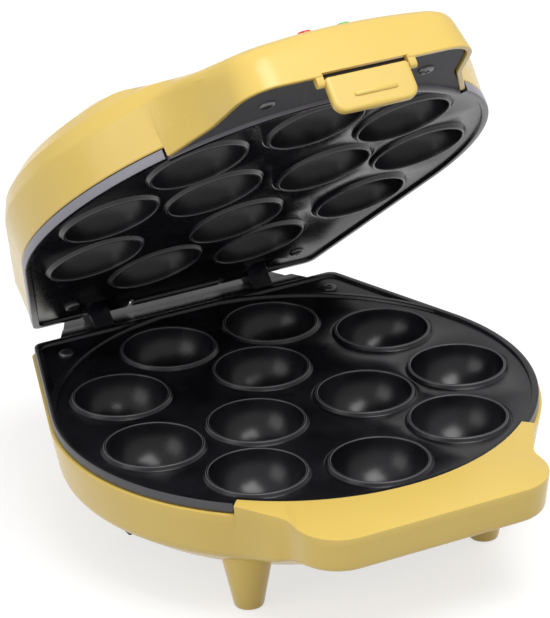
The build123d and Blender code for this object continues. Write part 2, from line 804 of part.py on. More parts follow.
with BuildPart() as hinge_pin_clips:
    clip_start = pin_start + pin_end_play
    x_bar(clip_start, pin_head_thickness - pin_end_play, pin_head_radius, hinge_y, hinge_height)
    x_bar(clip_start, pin_head_thickness, hinge_pin_radius + pin_clearance, hinge_y,
          hinge_height, Mode.SUBTRACT)
    mirror(about=Plane.YZ)

# ================================================================ feet, cleats and grommet
with BuildPart() as foot_pads:
    for foot_y in (front_foot_y, rear_foot_y):
        with Locations(*mirrored_pair(foot_x, foot_y, 0)):
            Cylinder(pad_radius, pad_thickness - seat_gap, align=STANDING)

cleat_top = floor_height - seat_gap
cleat_arm_top = floor_height - cleat_arm
cleats = {}
for side, sign in (("left", -1), ("right", 1)):
    with BuildPart() as cleat:
        with Locations((cleat_root, cleat_y, cleat_arm_top - cleat_arm)):
            Box(cleat_reach, cleat_width, cleat_arm, align=LEVEL)
            Box(cleat_root_length, cleat_width, cleat_top - cleat_arm_top + cleat_arm, align=LEVEL)
        with Locations((cleat_root + cleat_reach - cleat_arm, cleat_y, cleat_arm_top)):
            Box(cleat_arm, cleat_width, cleat_arm + cleat_lip, align=LEVEL_HANGING)
        fillet(edges().filter_by(Axis.Z).group_by(Axis.X)[-1], radius=cleat_round)
        with Locations((cleat_root + cleat_root_length / 2, cleat_y, 0)):
            Cylinder(screw_radius + screw_clearance, floor_height, align=STANDING,
                     mode=Mode.SUBTRACT)
        if sign < 0:
            mirror(about=Plane.YZ, mode=Mode.REPLACE)
    cleats[f"cord_wrap_cleat_{side}"] = cleat

with BuildPart() as cord_grommet:
    with BuildSketch(Plane.XZ.offset(-block_rear - seat_gap)):
        with Locations((0, inlet_height)):
            Circle(grommet_flange)
    extrude(amount=-grommet_flange_thickness)
    with BuildSketch(Plane.XZ.offset(-block_rear - seat_gap)):
        with Locations((0, inlet_height)):
            Circle(inlet_radius - seat_gap)
    extrude(amount=wall)
    with BuildSketch(Plane.XZ.offset(-block_rear - grommet_flange_thickness - seat_gap)):
        with Locations((0, inlet_height)):
            Circle(grommet_bore)
    extrude(amount=2 * wall + grommet_flange_thickness, mode=Mode.SUBTRACT)

# ================================================================ heaters and shields
ring_start = 90 + heater_gap_angle / 2
strap_low = strap_top - strap_thickness
shield_low = shield_top - shield_thickness


def heater_end(path, end):
    """Plane at one end of the heater ring, facing away from the ring."""
    outward = (path % end) if end == 1 else -(path % end)
    return Plane(origin=path @ end, z_dir=outward)


def heater_ring():
    """Tubular heater bent to an open ring, with a connection pin at each end."""
    with BuildLine(Plane.XY.offset(heater_height)) as path:
        CenterArc((0, 0), heater_radius, ring_start, 360 - heater_gap_angle)
    with BuildSketch(heater_end(path.line, 0)) as tube:
        Circle(heater_tube_radius)
    sweep(tube.sketch, path=path.line)
    for end in (0, 1):
        with BuildSketch(heater_end(path.line, end)) as pin:
            Circle(heater_pin_radius)
        extrude(pin.sketch, amount=heater_pin_length)


def heater_beads():
    """Ceramic beads on the two connection pins."""
    with BuildLine(Plane.XY.offset(heater_height)) as path:
        CenterArc((0, 0), heater_radius, ring_start, 360 - heater_gap_angle)
    for end in (0, 1):
        with BuildSketch(heater_end(path.line, end).offset(seat_gap)) as bead:
            Circle(bead_radius)
            Circle(heater_pin_radius + bead_clearance, mode=Mode.SUBTRACT)
        extrude(bead.sketch, amount=bead_length)


def heater_straps():
    """Flat straps that clamp the heater ring to the plate."""
    with Locations((0, 0, strap_low)):
        with PolarLocations((strap_inner + strap_outer) / 2, strap_count, strap_first_angle):
            Box(strap_outer - strap_inner, strap_width, strap_thickness, align=STANDING)
        with PolarLocations(strap_screw_radius, strap_count, strap_first_angle):
            Cylinder(screw_radius + screw_clearance, 2 * strap_thickness, mode=Mode.SUBTRACT)


def plate_inner_screws():
    """Screws of the heater straps and of the shield, heads away from the plate."""
    for index in range(strap_count):
        angle = strap_first_angle + 360 / strap_count * index
        upright_screw(*ray_point(angle, strap_screw_radius), strap_low, small_screw_length)
    upright_screw(0, 0, shield_low, small_screw_length)


def heat_shield():
    """Shallow pan behind the cups, with a turned-up rim."""
    with Locations((0, 0, shield_low)):
        Cylinder(shield_radius, shield_rim, align=STANDING)
    with Locations((0, 0, shield_top)):
        Cylinder(shield_radius - shield_thickness, shield_rim, align=STANDING,
                 mode=Mode.SUBTRACT)
    with Locations((0, 0, shield_low)):
        Cylinder(screw_radius + screw_clearance, shield_rim, mode=Mode.SUBTRACT)


inner_makers = {
    "heater": heater_ring,
    "heater_beads": heater_beads,
    "heater_straps": heater_straps,
    "inner_screws": plate_inner_screws,
    "heat_shield": heat_shield,
}
lower_inner = {}
upper_inner = {}
for name, make in inner_makers.items():
    with BuildPart() as lower_piece:
        make()
    lower_inner[f"lower_{name}"] = lower_piece
    with BuildPart() as upper_piece:
        make()
        mirror(about=Plane.XY.offset(parting_height), mode=Mode.REPLACE)
    upper_inner[f"upper_{name}"] = upper_piece

# ================================================================ screws that show
with BuildPart() as lower_plate_screws:
    with Locations(*mirrored_pair(lower_screw_x, lower_screw_y, plate_face)):
        pan_screw(lower_screw_length)

with BuildPart() as upper_plate_screws:
    for x in (upper_screw_x, -upper_screw_x):
        upright_screw(x, upper_screw_y, upper_face, upper_screw_length)

with BuildPart() as panel_screws:
    for x in (panel_screw_x, -panel_screw_x):
        upright_screw(x, panel_screw_y, panel_low, panel_screw_length)

with BuildPart() as cleat_screws:
    cleat_screw_x = cleat_root + cleat_root_length / 2
    for x in (cleat_screw_x, -cleat_screw_x):
        upright_screw(x, cleat_y, cleat_arm_top - cleat_arm, small_screw_length)

# ================================================================ electrical parts
with BuildPart() as thermostat:
    with Locations((0, thermostat_y, shield_low - seat_gap)):
        Cylinder(thermostat_radius, thermostat_height, align=HANGING)
        Box(3.4 * thermostat_radius, thermostat_radius, clamp_thickness, align=HANGING)

with BuildPart() as thermal_fuse:
    with Locations((0, fuse_y, shield_low - seat_gap - fuse_radius)):
        Cylinder(fuse_radius, fuse_length, rotation=(0, 90, 0))

with BuildPart() as fuse_clamp:
    with Locations((0, fuse_y, shield_low - seat_gap)):
        Box(clamp_width, 6 * fuse_radius, clamp_thickness, align=HANGING)
    with Locations((0, fuse_y, shield_low - seat_gap - fuse_radius)):
        Cylinder(fuse_radius + seat_gap + clamp_thickness, clamp_width, rotation=(0, 90, 0))
        Cylinder(fuse_radius + seat_gap, fuse_length, rotation=(0, 90, 0), mode=Mode.SUBTRACT)
    split(bisect_by=Plane.XY.offset(shield_low - seat_gap), keep=Keep.BOTTOM)

with BuildPart() as terminal_block:
    with Locations((0, terminal_y, floor_height + wall + seat_gap)):
        Box(terminal_length, terminal_width, terminal_height, align=STANDING)
        with Locations((0, 0, terminal_height / 2)):
            with GridLocations(terminal_length / terminal_ways, 0, terminal_ways, 1):
                Cylinder(terminal_bore, 2 * terminal_width, rotation=(90, 0, 0),
                         mode=Mode.SUBTRACT)

# ================================================================ lamps on the lid's grip
lamp_seat = upper_grip_lip + upper_grip_height - lamp_holder_drop
lamp_slope = upper_grip_slope.offset(lamp_proud)
lenses = {}
for title, sign in (("power_lamp_lens", -1), ("ready_lamp_lens", 1)):
    with BuildPart() as lens:
        with Locations((sign * lamp_x, lamp_y, lamp_seat + lamp_holder_thickness + seat_gap)):
            Cylinder(lamp_radius, upper_grip_height, align=STANDING)
        split(bisect_by=lamp_slope, keep=Keep.BOTTOM)
        fillet(edges().filter_by(lambda edge: on_plane(edge, lamp_slope)), radius=lamp_proud)
        with Locations((sign * lamp_x, lamp_y, lamp_seat + lamp_holder_thickness + seat_gap)):
            Cylinder(lamp_radius + lamp_flange, lamp_flange, align=STANDING)
    lenses[title] = lens

with BuildPart() as lamp_holder:
    with Locations((0, lamp_y, lamp_seat)):
        Box(lamp_holder_length, lamp_holder_width, lamp_holder_thickness, align=STANDING)
        with Locations((lamp_holder_length / 2, 0, 0), (-lamp_holder_length / 2, 0, 0)):
            Box(lamp_holder_thickness, lamp_holder_width, upper_grip_height, align=STANDING)
    split(bisect_by=upper_grip_slope.offset(-wall - seat_gap), keep=Keep.BOTTOM)

os.makedirs("parts", exist_ok=True)
base_pieces = {
    "lower_housing": lower_housing,
    "lower_plate": lower_plate,
    "lower_plate_screws": lower_plate_screws,
    **lower_inner,
    "thermostat": thermostat,
    "thermal_fuse": thermal_fuse,
    "fuse_clamp": fuse_clamp,
    "terminal_block": terminal_block,
    "cord_grommet": cord_grommet,
    **cleats,
    "cleat_screws": cleat_screws,
    "foot_pads": foot_pads,
    **pins,
    "hinge_pin_clips": hinge_pin_clips,
}
lid_pieces = {
    "upper_housing": upper_housing,
    "upper_plate": upper_plate,
    "upper_plate_screws": upper_plate_screws,
    **upper_inner,
    "handle_panel": handle_panel,
    "panel_screws": panel_screws,
    "lamp_holder": lamp_holder,
    **lenses,
    "latch": latch,
    "latch_pin": latch_pin,
}
hinge_axis = Axis((0, hinge_y, hinge_height), (-1, 0, 0))
for piece in lid_pieces.values():
    piece.part = piece.part.rotate(hinge_axis, lid_open_angle)
for name, piece in {**base_pieces, **lid_pieces}.items():
    piece.part.label = name
    export_step(piece.part, f"parts/{name}.step")
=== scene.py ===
"""Dresses the cake pop maker: shells, baking plates, latch, hinge, screws, lamps and stage."""

import json
from math import cos, pi, radians, sin, sqrt

import bmesh
import bpy
from mathutils import Matrix, Vector
from mathutils.geometry import delaunay_2d_cdt


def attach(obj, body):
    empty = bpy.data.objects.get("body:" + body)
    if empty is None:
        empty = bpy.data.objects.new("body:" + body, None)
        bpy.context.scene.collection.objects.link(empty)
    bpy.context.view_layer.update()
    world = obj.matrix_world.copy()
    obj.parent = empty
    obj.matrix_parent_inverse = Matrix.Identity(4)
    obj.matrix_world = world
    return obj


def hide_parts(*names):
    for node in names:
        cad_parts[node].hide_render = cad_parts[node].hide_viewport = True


bl_info = {
    "name": "Cake Pop Maker",
    "version": (1, 0, 0),
    "blender": (4, 5, 0),
    "location": "View3D > Sidebar > Cake Pops",
    "description": "Builds the visible pieces, finishes and stage of a cake pop maker",
    "category": "Object",
}

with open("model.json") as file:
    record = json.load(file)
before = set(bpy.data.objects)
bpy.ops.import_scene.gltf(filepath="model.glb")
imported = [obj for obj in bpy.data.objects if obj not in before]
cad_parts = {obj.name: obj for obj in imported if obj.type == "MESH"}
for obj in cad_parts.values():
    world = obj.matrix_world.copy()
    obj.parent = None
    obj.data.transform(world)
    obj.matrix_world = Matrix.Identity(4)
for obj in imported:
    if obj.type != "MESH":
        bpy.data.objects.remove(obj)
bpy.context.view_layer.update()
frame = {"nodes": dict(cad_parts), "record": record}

MM = 0.001

# Places of the wells, in millimetres from the centre of the pattern.
OUTER_WELLS = 9
OUTER_RING = 75.87
INNER_WELLS = 3
INNER_RING = 30.85

# Heights above the table with the lid shut, in millimetres.
PARTING = 59.0
CREST = 58.8
FACE = 57.3
UNDER = 54.3

# Hinge line and the angle at which the lid rests.
HINGE_Y = 120.2
HINGE_Z = 64.96
LID_OPEN = radians(42.23)


def open_lid():
    """Matrix that swings a shut lid piece to its resting place, in metres."""
    hinge = Vector((0, HINGE_Y, HINGE_Z)) * MM
    swing = Matrix.Rotation(-LID_OPEN, 4, "X")
    return Matrix.Translation(hinge) @ swing @ Matrix.Translation(-hinge)


# ---------------------------------------------------------------- settings


class CakePopShellSettings(bpy.types.PropertyGroup):
    """Yellow shells, latch and feet."""

    colour: bpy.props.FloatVectorProperty(
        name="Shell Colour", description="Colour of the moulded shells",
        subtype="COLOR", size=3, min=0, max=1, default=(0.83, 0.600, 0.150))
    shade: bpy.props.FloatVectorProperty(
        name="Shell Shade", description="Deeper tone that clouds the shell colour",
        subtype="COLOR", size=3, min=0, max=1, default=(0.80, 0.570, 0.135))
    roughness: bpy.props.FloatProperty(
        name="Shell Roughness", description="Roughness of the glossy moulded plastic",
        subtype="FACTOR", min=0, max=1, default=0.24)
    edge: bpy.props.FloatProperty(
        name="Shell Edge", description="Rounding of the shells' moulded edges",
        unit="LENGTH", min=0, max=0.003, default=0.0005)


class CakePopPlateSettings(bpy.types.PropertyGroup):
    """Coated baking plates."""

    colour: bpy.props.FloatVectorProperty(
        name="Coating Colour", description="Colour of the non-stick coating",
        subtype="COLOR", size=3, min=0, max=1, default=(0.0045, 0.0042, 0.0058))
    fleck: bpy.props.FloatVectorProperty(
        name="Coating Fleck", description="Lighter flecks in the coating",
        subtype="COLOR", size=3, min=0, max=1, default=(0.013, 0.0125, 0.016))
    roughness: bpy.props.FloatProperty(
        name="Coating Roughness", description="Roughness of the coating",
        subtype="FACTOR", min=0, max=1, default=0.26)
    well_radius: bpy.props.FloatProperty(
        name="Well Radius", description="Radius of the half-round wells",
        unit="LENGTH", min=0.018, max=0.021, default=0.0205)
    moat_radius: bpy.props.FloatProperty(
        name="Moat Radius", description="Outer radius of the shallow moat round each well",
        unit="LENGTH", min=0.0228, max=0.0238, default=0.0236)
    lip_width: bpy.props.FloatProperty(
        name="Lip Width", description="Width of the raised lip along the plates' edges",
        unit="LENGTH", min=0.001, max=0.005, default=0.003)


class CakePopStageSettings(bpy.types.PropertyGroup):
    """Floor, lamps and camera."""

    floor: bpy.props.FloatVectorProperty(
        name="Floor Colour", description="Colour of the plain floor",
        subtype="COLOR", size=3, min=0, max=1, default=(0.40, 0.40, 0.41))
    key: bpy.props.FloatProperty(
        name="Key Lamp", description="Power of the large soft lamp above the front",
        unit="POWER", min=0, default=27.0)
    fill: bpy.props.FloatProperty(
        name="Fill Lamp", description="Power of the soft lamp at the side",
        unit="POWER", min=0, default=6.5)
    sky: bpy.props.FloatProperty(
        name="Room Light", description="Strength of the even light from all round",
        min=0, max=2, default=0.55)
    lens: bpy.props.FloatProperty(
        name="Lens", description="Focal length of the camera",
        unit="CAMERA", subtype="DISTANCE_CAMERA", min=10, default=204.09)


class CakePopSettings(bpy.types.PropertyGroup):
    """All settings of the cake pop maker."""

    shell: bpy.props.PointerProperty(type=CakePopShellSettings)
    plate: bpy.props.PointerProperty(type=CakePopPlateSettings)
    stage: bpy.props.PointerProperty(type=CakePopStageSettings)


# ---------------------------------------------------------------- shader groups


def new_group(name, inputs, outputs):
    """Empty shader group with named sockets, and its input and output nodes."""
    tree = bpy.data.node_groups.new(name, "ShaderNodeTree")
    for direction, sockets in (("INPUT", inputs), ("OUTPUT", outputs)):
        for socket_name, kind, default in sockets:
            socket = tree.interface.new_socket(
                name=socket_name, in_out=direction, socket_type="NodeSocket" + kind)
            if default is not None:
                socket.default_value = default
    return tree, tree.nodes.new("NodeGroupInput"), tree.nodes.new("NodeGroupOutput")


def add_node(tree, kind, settings=None, **values):
    """New node with its settings and unlinked input values."""
    node = tree.nodes.new("ShaderNode" + kind)
    for key, value in (settings or {}).items():
        setattr(node, key, value)
    for key, value in values.items():
        node.inputs[key.replace("_", " ")].default_value = value
    return node


def moulded_grain_group():
    """Fine surface texture, and a broad mask that breaks up the gloss."""
    tree, source, result = new_group(
        "moulded_grain",
        (("Scale", "Float", 900.0), ("Depth", "Float", 1.0), ("Rough", "Float", 0.3),
         ("Rough Spread", "Float", 0.06)),
        (("Height", "Float", None), ("Roughness", "Float", None)))
    place = add_node(tree, "TexCoord")
    fine = add_node(tree, "TexNoise", Detail=3.0, Roughness=0.55)
    broad = add_node(tree, "TexNoise", Scale=26.0, Detail=4.0, Roughness=0.6)
    height = add_node(tree, "Math", {"operation": "MULTIPLY"})
    spread = add_node(tree, "MapRange", From_Min=0.3, From_Max=0.7)
    low = add_node(tree, "Math", {"operation": "SUBTRACT"})
    high = add_node(tree, "Math", {"operation": "ADD"})
    tree.links.new(place.outputs["Object"], fine.inputs["Vector"])
    tree.links.new(place.outputs["Object"], broad.inputs["Vector"])
    tree.links.new(source.outputs["Scale"], fine.inputs["Scale"])
    tree.links.new(fine.outputs["Fac"], height.inputs[0])
    tree.links.new(source.outputs["Depth"], height.inputs[1])
    tree.links.new(height.outputs[0], result.inputs["Height"])
    tree.links.new(source.outputs["Rough"], low.inputs[0])
    tree.links.new(source.outputs["Rough Spread"], low.inputs[1])
    tree.links.new(source.outputs["Rough"], high.inputs[0])
    tree.links.new(source.outputs["Rough Spread"], high.inputs[1])
    tree.links.new(broad.outputs["Fac"], spread.inputs["Value"])
    tree.links.new(low.outputs[0], spread.inputs["To Min"])
    tree.links.new(high.outputs[0], spread.inputs["To Max"])
    tree.links.new(spread.outputs["Result"], result.inputs["Roughness"])
    return tree


def clouded_colour_group():
    """Two close tones, mixed by soft clouds and by small flecks."""
    tree, source, result = new_group(
        "clouded_colour",
        (("Tone", "Color", (0.8, 0.8, 0.8, 1)), ("Deep Tone", "Color", (0.5, 0.5, 0.5, 1)),
         ("Cloud Scale", "Float", 18.0), ("Fleck Scale", "Float", 700.0),
         ("Flecks", "Float", 0.2)),
        (("Colour", "Color", None), ("Cloud", "Float", None)))
    place = add_node(tree, "TexCoord")
    cloud = add_node(tree, "TexNoise", Detail=3.0, Roughness=0.5)
    ease = add_node(tree, "MapRange", {"interpolation_type": "SMOOTHSTEP"},
                    From_Min=0.32, From_Max=0.68)
    fleck = add_node(tree, "TexNoise", Detail=1.0)
    fleck_ease = add_node(tree, "MapRange", From_Min=0.55, From_Max=0.72)
    fleck_share = add_node(tree, "Math", {"operation": "MULTIPLY"})
    both = add_node(tree, "Math", {"operation": "ADD", "use_clamp": True})
    mix = add_node(tree, "Mix", {"data_type": "RGBA"})
    for noise, scale in ((cloud, "Cloud Scale"), (fleck, "Fleck Scale")):
        tree.links.new(place.outputs["Object"], noise.inputs["Vector"])
        tree.links.new(source.outputs[scale], noise.inputs["Scale"])
    tree.links.new(cloud.outputs["Fac"], ease.inputs["Value"])
    tree.links.new(fleck.outputs["Fac"], fleck_ease.inputs["Value"])
    tree.links.new(fleck_ease.outputs["Result"], fleck_share.inputs[0])
    tree.links.new(source.outputs["Flecks"], fleck_share.inputs[1])
    tree.links.new(ease.outputs["Result"], both.inputs[0])
    tree.links.new(fleck_share.outputs[0], both.inputs[1])
    tree.links.new(both.outputs[0], mix.inputs["Factor"])
    tree.links.new(source.outputs["Tone"], mix.inputs["A"])
    tree.links.new(source.outputs["Deep Tone"], mix.inputs["B"])
    tree.links.new(mix.outputs["Result"], result.inputs["Colour"])
    tree.links.new(ease.outputs["Result"], result.inputs["Cloud"])
    return tree


def edge_wear_and_sheen_group():
    """Colour that lightens sharp edges in broken patches: edge wear, and on the coated plates also
    painted highlight along the crests.
    """
    tree, source, result = new_group(
        "edge_wear_and_sheen",
        (("Colour", "Color", (0.5, 0.5, 0.5, 1)), ("Rubbed", "Color", (0.7, 0.7, 0.7, 1)),
         ("Amount", "Float", 0.4)),
        (("Colour", "Color", None), ("Mask", "Float", None)))
    shape = add_node(tree, "NewGeometry")
    place = add_node(tree, "TexCoord")
    edge = add_node(tree, "MapRange", From_Min=0.53, From_Max=0.62)
    patch = add_node(tree, "TexNoise", Scale=160.0, Detail=4.0)
    broken = add_node(tree, "MapRange", From_Min=0.42, From_Max=0.62)
    share = add_node(tree, "Math", {"operation": "MULTIPLY"})
    mask = add_node(tree, "Math", {"operation": "MULTIPLY", "use_clamp": True})
    mix = add_node(tree, "Mix", {"data_type": "RGBA"})
    tree.links.new(shape.outputs["Pointiness"], edge.inputs["Value"])
    tree.links.new(place.outputs["Object"], patch.inputs["Vector"])
    tree.links.new(patch.outputs["Fac"], broken.inputs["Value"])
    tree.links.new(edge.outputs["Result"], share.inputs[0])
    tree.links.new(broken.outputs["Result"], share.inputs[1])
    tree.links.new(share.outputs[0], mask.inputs[0])
    tree.links.new(source.outputs["Amount"], mask.inputs[1])
    tree.links.new(mask.outputs[0], mix.inputs["Factor"])
    tree.links.new(source.outputs["Colour"], mix.inputs["A"])
    tree.links.new(source.outputs["Rubbed"], mix.inputs["B"])
    tree.links.new(mix.outputs["Result"], result.inputs["Colour"])
    tree.links.new(mask.outputs[0], result.inputs["Mask"])
    return tree


GROUP_MAKERS = {
    "moulded_grain": moulded_grain_group,
    "clouded_colour": clouded_colour_group,
    "edge_wear_and_sheen": edge_wear_and_sheen_group,
}


def place_group(tree, name, **values):
    """The named group, built on first use, placed in a material's tree."""
    node = tree.nodes.new("ShaderNodeGroup")
    node.node_tree = bpy.data.node_groups.get(name) or GROUP_MAKERS[name]()
    for key, value in values.items():
        node.inputs[key.replace("_", " ")].default_value = value
    return node


# ---------------------------------------------------------------- materials


def finish(name, tone, deep, roughness, spread=0.05, grain=(900.0, 1.0), bump=0.00003,
           clouds=(18.0, 700.0, 0.15), wear_and_sheen=None, plain=None):
    """Material with clouded colour, lightened edges (edge wear, and on the plates painted highlight),
    uneven gloss and a fine grain.
    """
    material = bpy.data.materials.get(name)
    if material:
        return material
    material = bpy.data.materials.new(name)
    material.use_nodes = True
    tree = material.node_tree
    shader = tree.nodes["Principled BSDF"]
    colour = place_group(
        tree, "clouded_colour", Tone=(*tone, 1), Deep_Tone=(*deep, 1),
        Cloud_Scale=clouds[0], Fleck_Scale=clouds[1], Flecks=clouds[2])
    surface = place_group(
        tree, "moulded_grain", Scale=grain[0], Depth=grain[1], Rough=roughness,
        Rough_Spread=spread)
    paint = colour
    # lightened edges: wear, and on the coated plates painted highlight on the crests
    if wear_and_sheen:
        paint = place_group(tree, "edge_wear_and_sheen", Rubbed=(*wear_and_sheen[0], 1), Amount=wear_and_sheen[1])
        tree.links.new(colour.outputs["Colour"], paint.inputs["Colour"])
    relief = add_node(tree, "Bump", Distance=bump, Strength=1.0)
    tree.links.new(paint.outputs["Colour"], shader.inputs["Base Color"])
    tree.links.new(surface.outputs["Roughness"], shader.inputs["Roughness"])
    tree.links.new(surface.outputs["Height"], relief.inputs["Height"])
    tree.links.new(relief.outputs["Normal"], shader.inputs["Normal"])
    for socket, value in (plain or {}).items():
        shader.inputs[socket].default_value = value
    return material


def shell_yellow():
    """Glossy pale yellow moulded plastic."""
    shell = bpy.context.scene.cake_pop_maker.shell
    return finish("shell_yellow", shell.colour, shell.shade, shell.roughness, 0.04,
                  (1400.0, 1.0), 0.000008, (14.0, 900.0, 0.05),
                  plain={"Specular IOR Level": 0.5})


def plate_coating():
    """Dark non-stick coating with a fine orange-peel texture."""
    plate = bpy.context.scene.cake_pop_maker.plate
    # Its lightened sharp edges are partly wear and partly painted highlight along the crests.
    return finish("plate_coating", plate.colour, plate.fleck, plate.roughness, 0.05,
                  (2200.0, 1.0), 0.00003, (40.0, 2600.0, 0.40),
                  ((0.05, 0.05, 0.055), 0.30), {"Specular IOR Level": 0.5})


def plate_edge(name, tone):
    """Plain grey finish for painted light on the baking plates: painted sheen on their outer edges and
    painted highlight lines on their crests.
    """
    return finish(name, tone, tone, 0.38, 0.05, (2200.0, 1.0), 0.00002)


def black_plastic():
    """Satin black plastic."""
    return finish("black_plastic", (0.012, 0.012, 0.014), (0.020, 0.020, 0.022), 0.30, 0.05,
                  (1800.0, 1.0), 0.000015, (20.0, 900.0, 0.2), ((0.05, 0.05, 0.05), 0.3),
                  {"Specular IOR Level": 1.0})


def dark_screw():
    """Blackened steel screw."""
    return finish("dark_screw", (0.035, 0.035, 0.038), (0.018, 0.018, 0.020), 0.34, 0.08,
                  (3000.0, 1.0), 0.00002, (300.0, 3000.0, 0.3), ((0.35, 0.35, 0.35), 0.6),
                  {"Metallic": 1.0})


def zinc_screw():
    """Bright zinc-plated steel."""
    return finish("zinc_screw", (0.60, 0.60, 0.58), (0.45, 0.45, 0.44), 0.32, 0.08,
                  (3000.0, 1.0), 0.00002, (260.0, 2600.0, 0.3), ((0.8, 0.8, 0.8), 0.5),
                  {"Metallic": 1.0})


def heater_steel():
    """Heater tube, dulled and straw-tinted by heat."""
    return finish("heater_steel", (0.28, 0.25, 0.21), (0.16, 0.13, 0.12), 0.45, 0.10,
                  (2600.0, 1.0), 0.00003, (60.0, 1800.0, 0.3), ((0.5, 0.48, 0.44), 0.4),
                  {"Metallic": 1.0})


def pressed_steel():
    """Pressed aluminised sheet steel."""
    return finish("pressed_steel", (0.52, 0.52, 0.52), (0.40, 0.40, 0.41), 0.40, 0.08,
                  (1900.0, 1.0), 0.00003, (50.0, 1500.0, 0.35), ((0.75, 0.75, 0.75), 0.4),
                  {"Metallic": 1.0})


def pin_steel():
    """Drawn and greased steel pin."""
    return finish("pin_steel", (0.20, 0.20, 0.21), (0.14, 0.14, 0.15), 0.30, 0.06,
                  (2600.0, 1.0), 0.00001, (120.0, 2400.0, 0.2), ((0.7, 0.7, 0.7), 0.4),
                  {"Metallic": 1.0})


def ceramic():
    """Unglazed white ceramic beads."""
    return finish("ceramic", (0.72, 0.69, 0.62), (0.62, 0.58, 0.50), 0.62, 0.08,
                  (2400.0, 1.0), 0.00004, (90.0, 1800.0, 0.3))


def rubber():
    """Soft dark rubber with a bloom."""
    return finish("rubber", (0.022, 0.022, 0.022), (0.045, 0.045, 0.045), 0.68, 0.08,
                  (2600.0, 1.0), 0.00006, (110.0, 2200.0, 0.35), ((0.07, 0.07, 0.07), 0.5))


def red_lens():
    """Clear red lamp lens."""
    return finish("red_lens", (0.55, 0.012, 0.010), (0.42, 0.008, 0.008), 0.10, 0.03,
                  (1200.0, 1.0), 0.00001, (300.0, 900.0, 0.1), None,
                  {"Transmission Weight": 0.35, "IOR": 1.49})


def green_lens():
    """Clear green lamp lens."""
    return finish("green_lens", (0.015, 0.36, 0.06), (0.010, 0.27, 0.045), 0.10, 0.03,
                  (1200.0, 1.0), 0.00001, (300.0, 900.0, 0.1), None,
                  {"Transmission Weight": 0.35, "IOR": 1.49})


FINISHES = {
    "yellow_shell": shell_yellow,
    "coated_plate": plate_coating,
    "black_plastic": black_plastic,
    "dark_screw": dark_screw,
    "zinc_screw": zinc_screw,
    "heater_steel": heater_steel,
    "pressed_steel": pressed_steel,
    "pin_steel": pin_steel,
    "ceramic": ceramic,
    "rubber": rubber,
    "red_lens": red_lens,
    "green_lens": green_lens,
}


# ---------------------------------------------------------------- mesh helpers


def paint(node, material):
    """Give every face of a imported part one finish."""
    mesh = frame["nodes"][node].data
    mesh.materials.clear()
    mesh.materials.append(material)


def soften(node, width):
    """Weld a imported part's faces and round its hard edges."""
    part = frame["nodes"][node]
    weld = part.modifiers.new("weld_seams", "WELD")
    weld.merge_threshold = 0.00001
    rounding = part.modifiers.new("round_edges", "BEVEL")
    rounding.width = width
    rounding.segments = 2
    rounding.limit_method = "ANGLE"
    rounding.angle_limit = radians(35)
    rounding.harden_normals = True
    rounding.use_clamp_overlap = True


def make_piece(name, bm, body, material, replaces=(), sharp=40):
    """Turn a built mesh, in metres, into a piece that rides on a body."""
    bmesh.ops.recalc_face_normals(bm, faces=bm.faces)
    mesh = bpy.data.meshes.new(name)
    bm.to_mesh(mesh)
    bm.free()
    mesh.shade_smooth()
    mesh.set_sharp_from_angle(angle=radians(sharp))
    mesh.materials.append(material)
    piece = bpy.data.objects.new(name, mesh)
    bpy.context.scene.collection.objects.link(piece)
    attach(piece, body)
    if replaces:
        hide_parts(*replaces)
    return piece


def painted_light_bands(piece, material, crest, reach):
    """Give a plate's upright outer faces a painted sheen and its wells' crest edges painted highlight
    lines, each a finish of its own.
    """
    piece.data.materials.append(material)
    piece.data.materials.append(crest)
    wells = [Vector(place) * MM for place in well_places()]
    turn = open_lid().to_3x3().inverted() if piece.name.startswith("upper") else None
    back = open_lid().inverted() if turn else None
    for face in piece.data.polygons:
        centre = back @ face.center if back else face.center
        normal = turn @ face.normal if turn else face.normal
        outward = (centre.x * normal.x + centre.y * normal.y) / max(centre.xy.length, 1e-6)
        # outer upright faces take the painted sheen, crest edges the painted highlight lines
        if centre.xy.length > reach * MM and outward > 0.5 and abs(normal.z) < 0.5:
            face.material_index = 1
        near = min((centre.xy - well).length for well in wells) / MM
        if 20.52 < near < 20.95 or 21.38 < near < 21.8:
            face.material_index = 2


def ring_points(bm, points):
    """Vertices from points given in millimetres."""
    return [bm.verts.new(Vector(point) * MM) for point in points]


def join_loops(bm, loops, closed=True):
    """Quads between consecutive loops of equal length."""
    for low, high in zip(loops, loops[1:]):
        count = len(low)
        for index in range(count if closed else count - 1):
            after = (index + 1) % count
            bm.faces.new((low[index], low[after], high[after], high[index]))


def fill_between(bm, rim, holes, height):
    """Flat face between an outline and the holes in it; all are loops of vertices."""
    corners = list(rim)
    edges = []
    start = 0
    for loop in [rim, *holes]:
        if loop is not rim:
            corners.extend(loop)
        count = len(loop)
        edges.extend((start + i, start + (i + 1) % count) for i in range(count))
        start += count
    flat = [Vector((corner.co.x, corner.co.y)) * 1000 for corner in corners]
    middles = []
    for hole in holes:
        middle = sum((corner.co.xy for corner in hole), Vector((0, 0))) * 1000 / len(hole)
        middles.append((middle, (hole[0].co.xy * 1000 - middle).length))
    _, _, faces, *_ = delaunay_2d_cdt(flat, edges, [], 1, 1e-5)
    for face in faces:
        centre = sum((flat[i] for i in face), Vector((0, 0))) / len(face)
        if all((centre - middle).length > reach * 0.999 for middle, reach in middles):
            bm.faces.new([corners[i] for i in face])


def arc(cx, cy, radius, start, end, count):
    """Points along an arc, ends included, angles in degrees."""
    points = []
    for index in range(count + 1):
        angle = radians(start + (end - start) * index / count)
        points.append((cx + radius * cos(angle), cy + radius * sin(angle)))
    return points


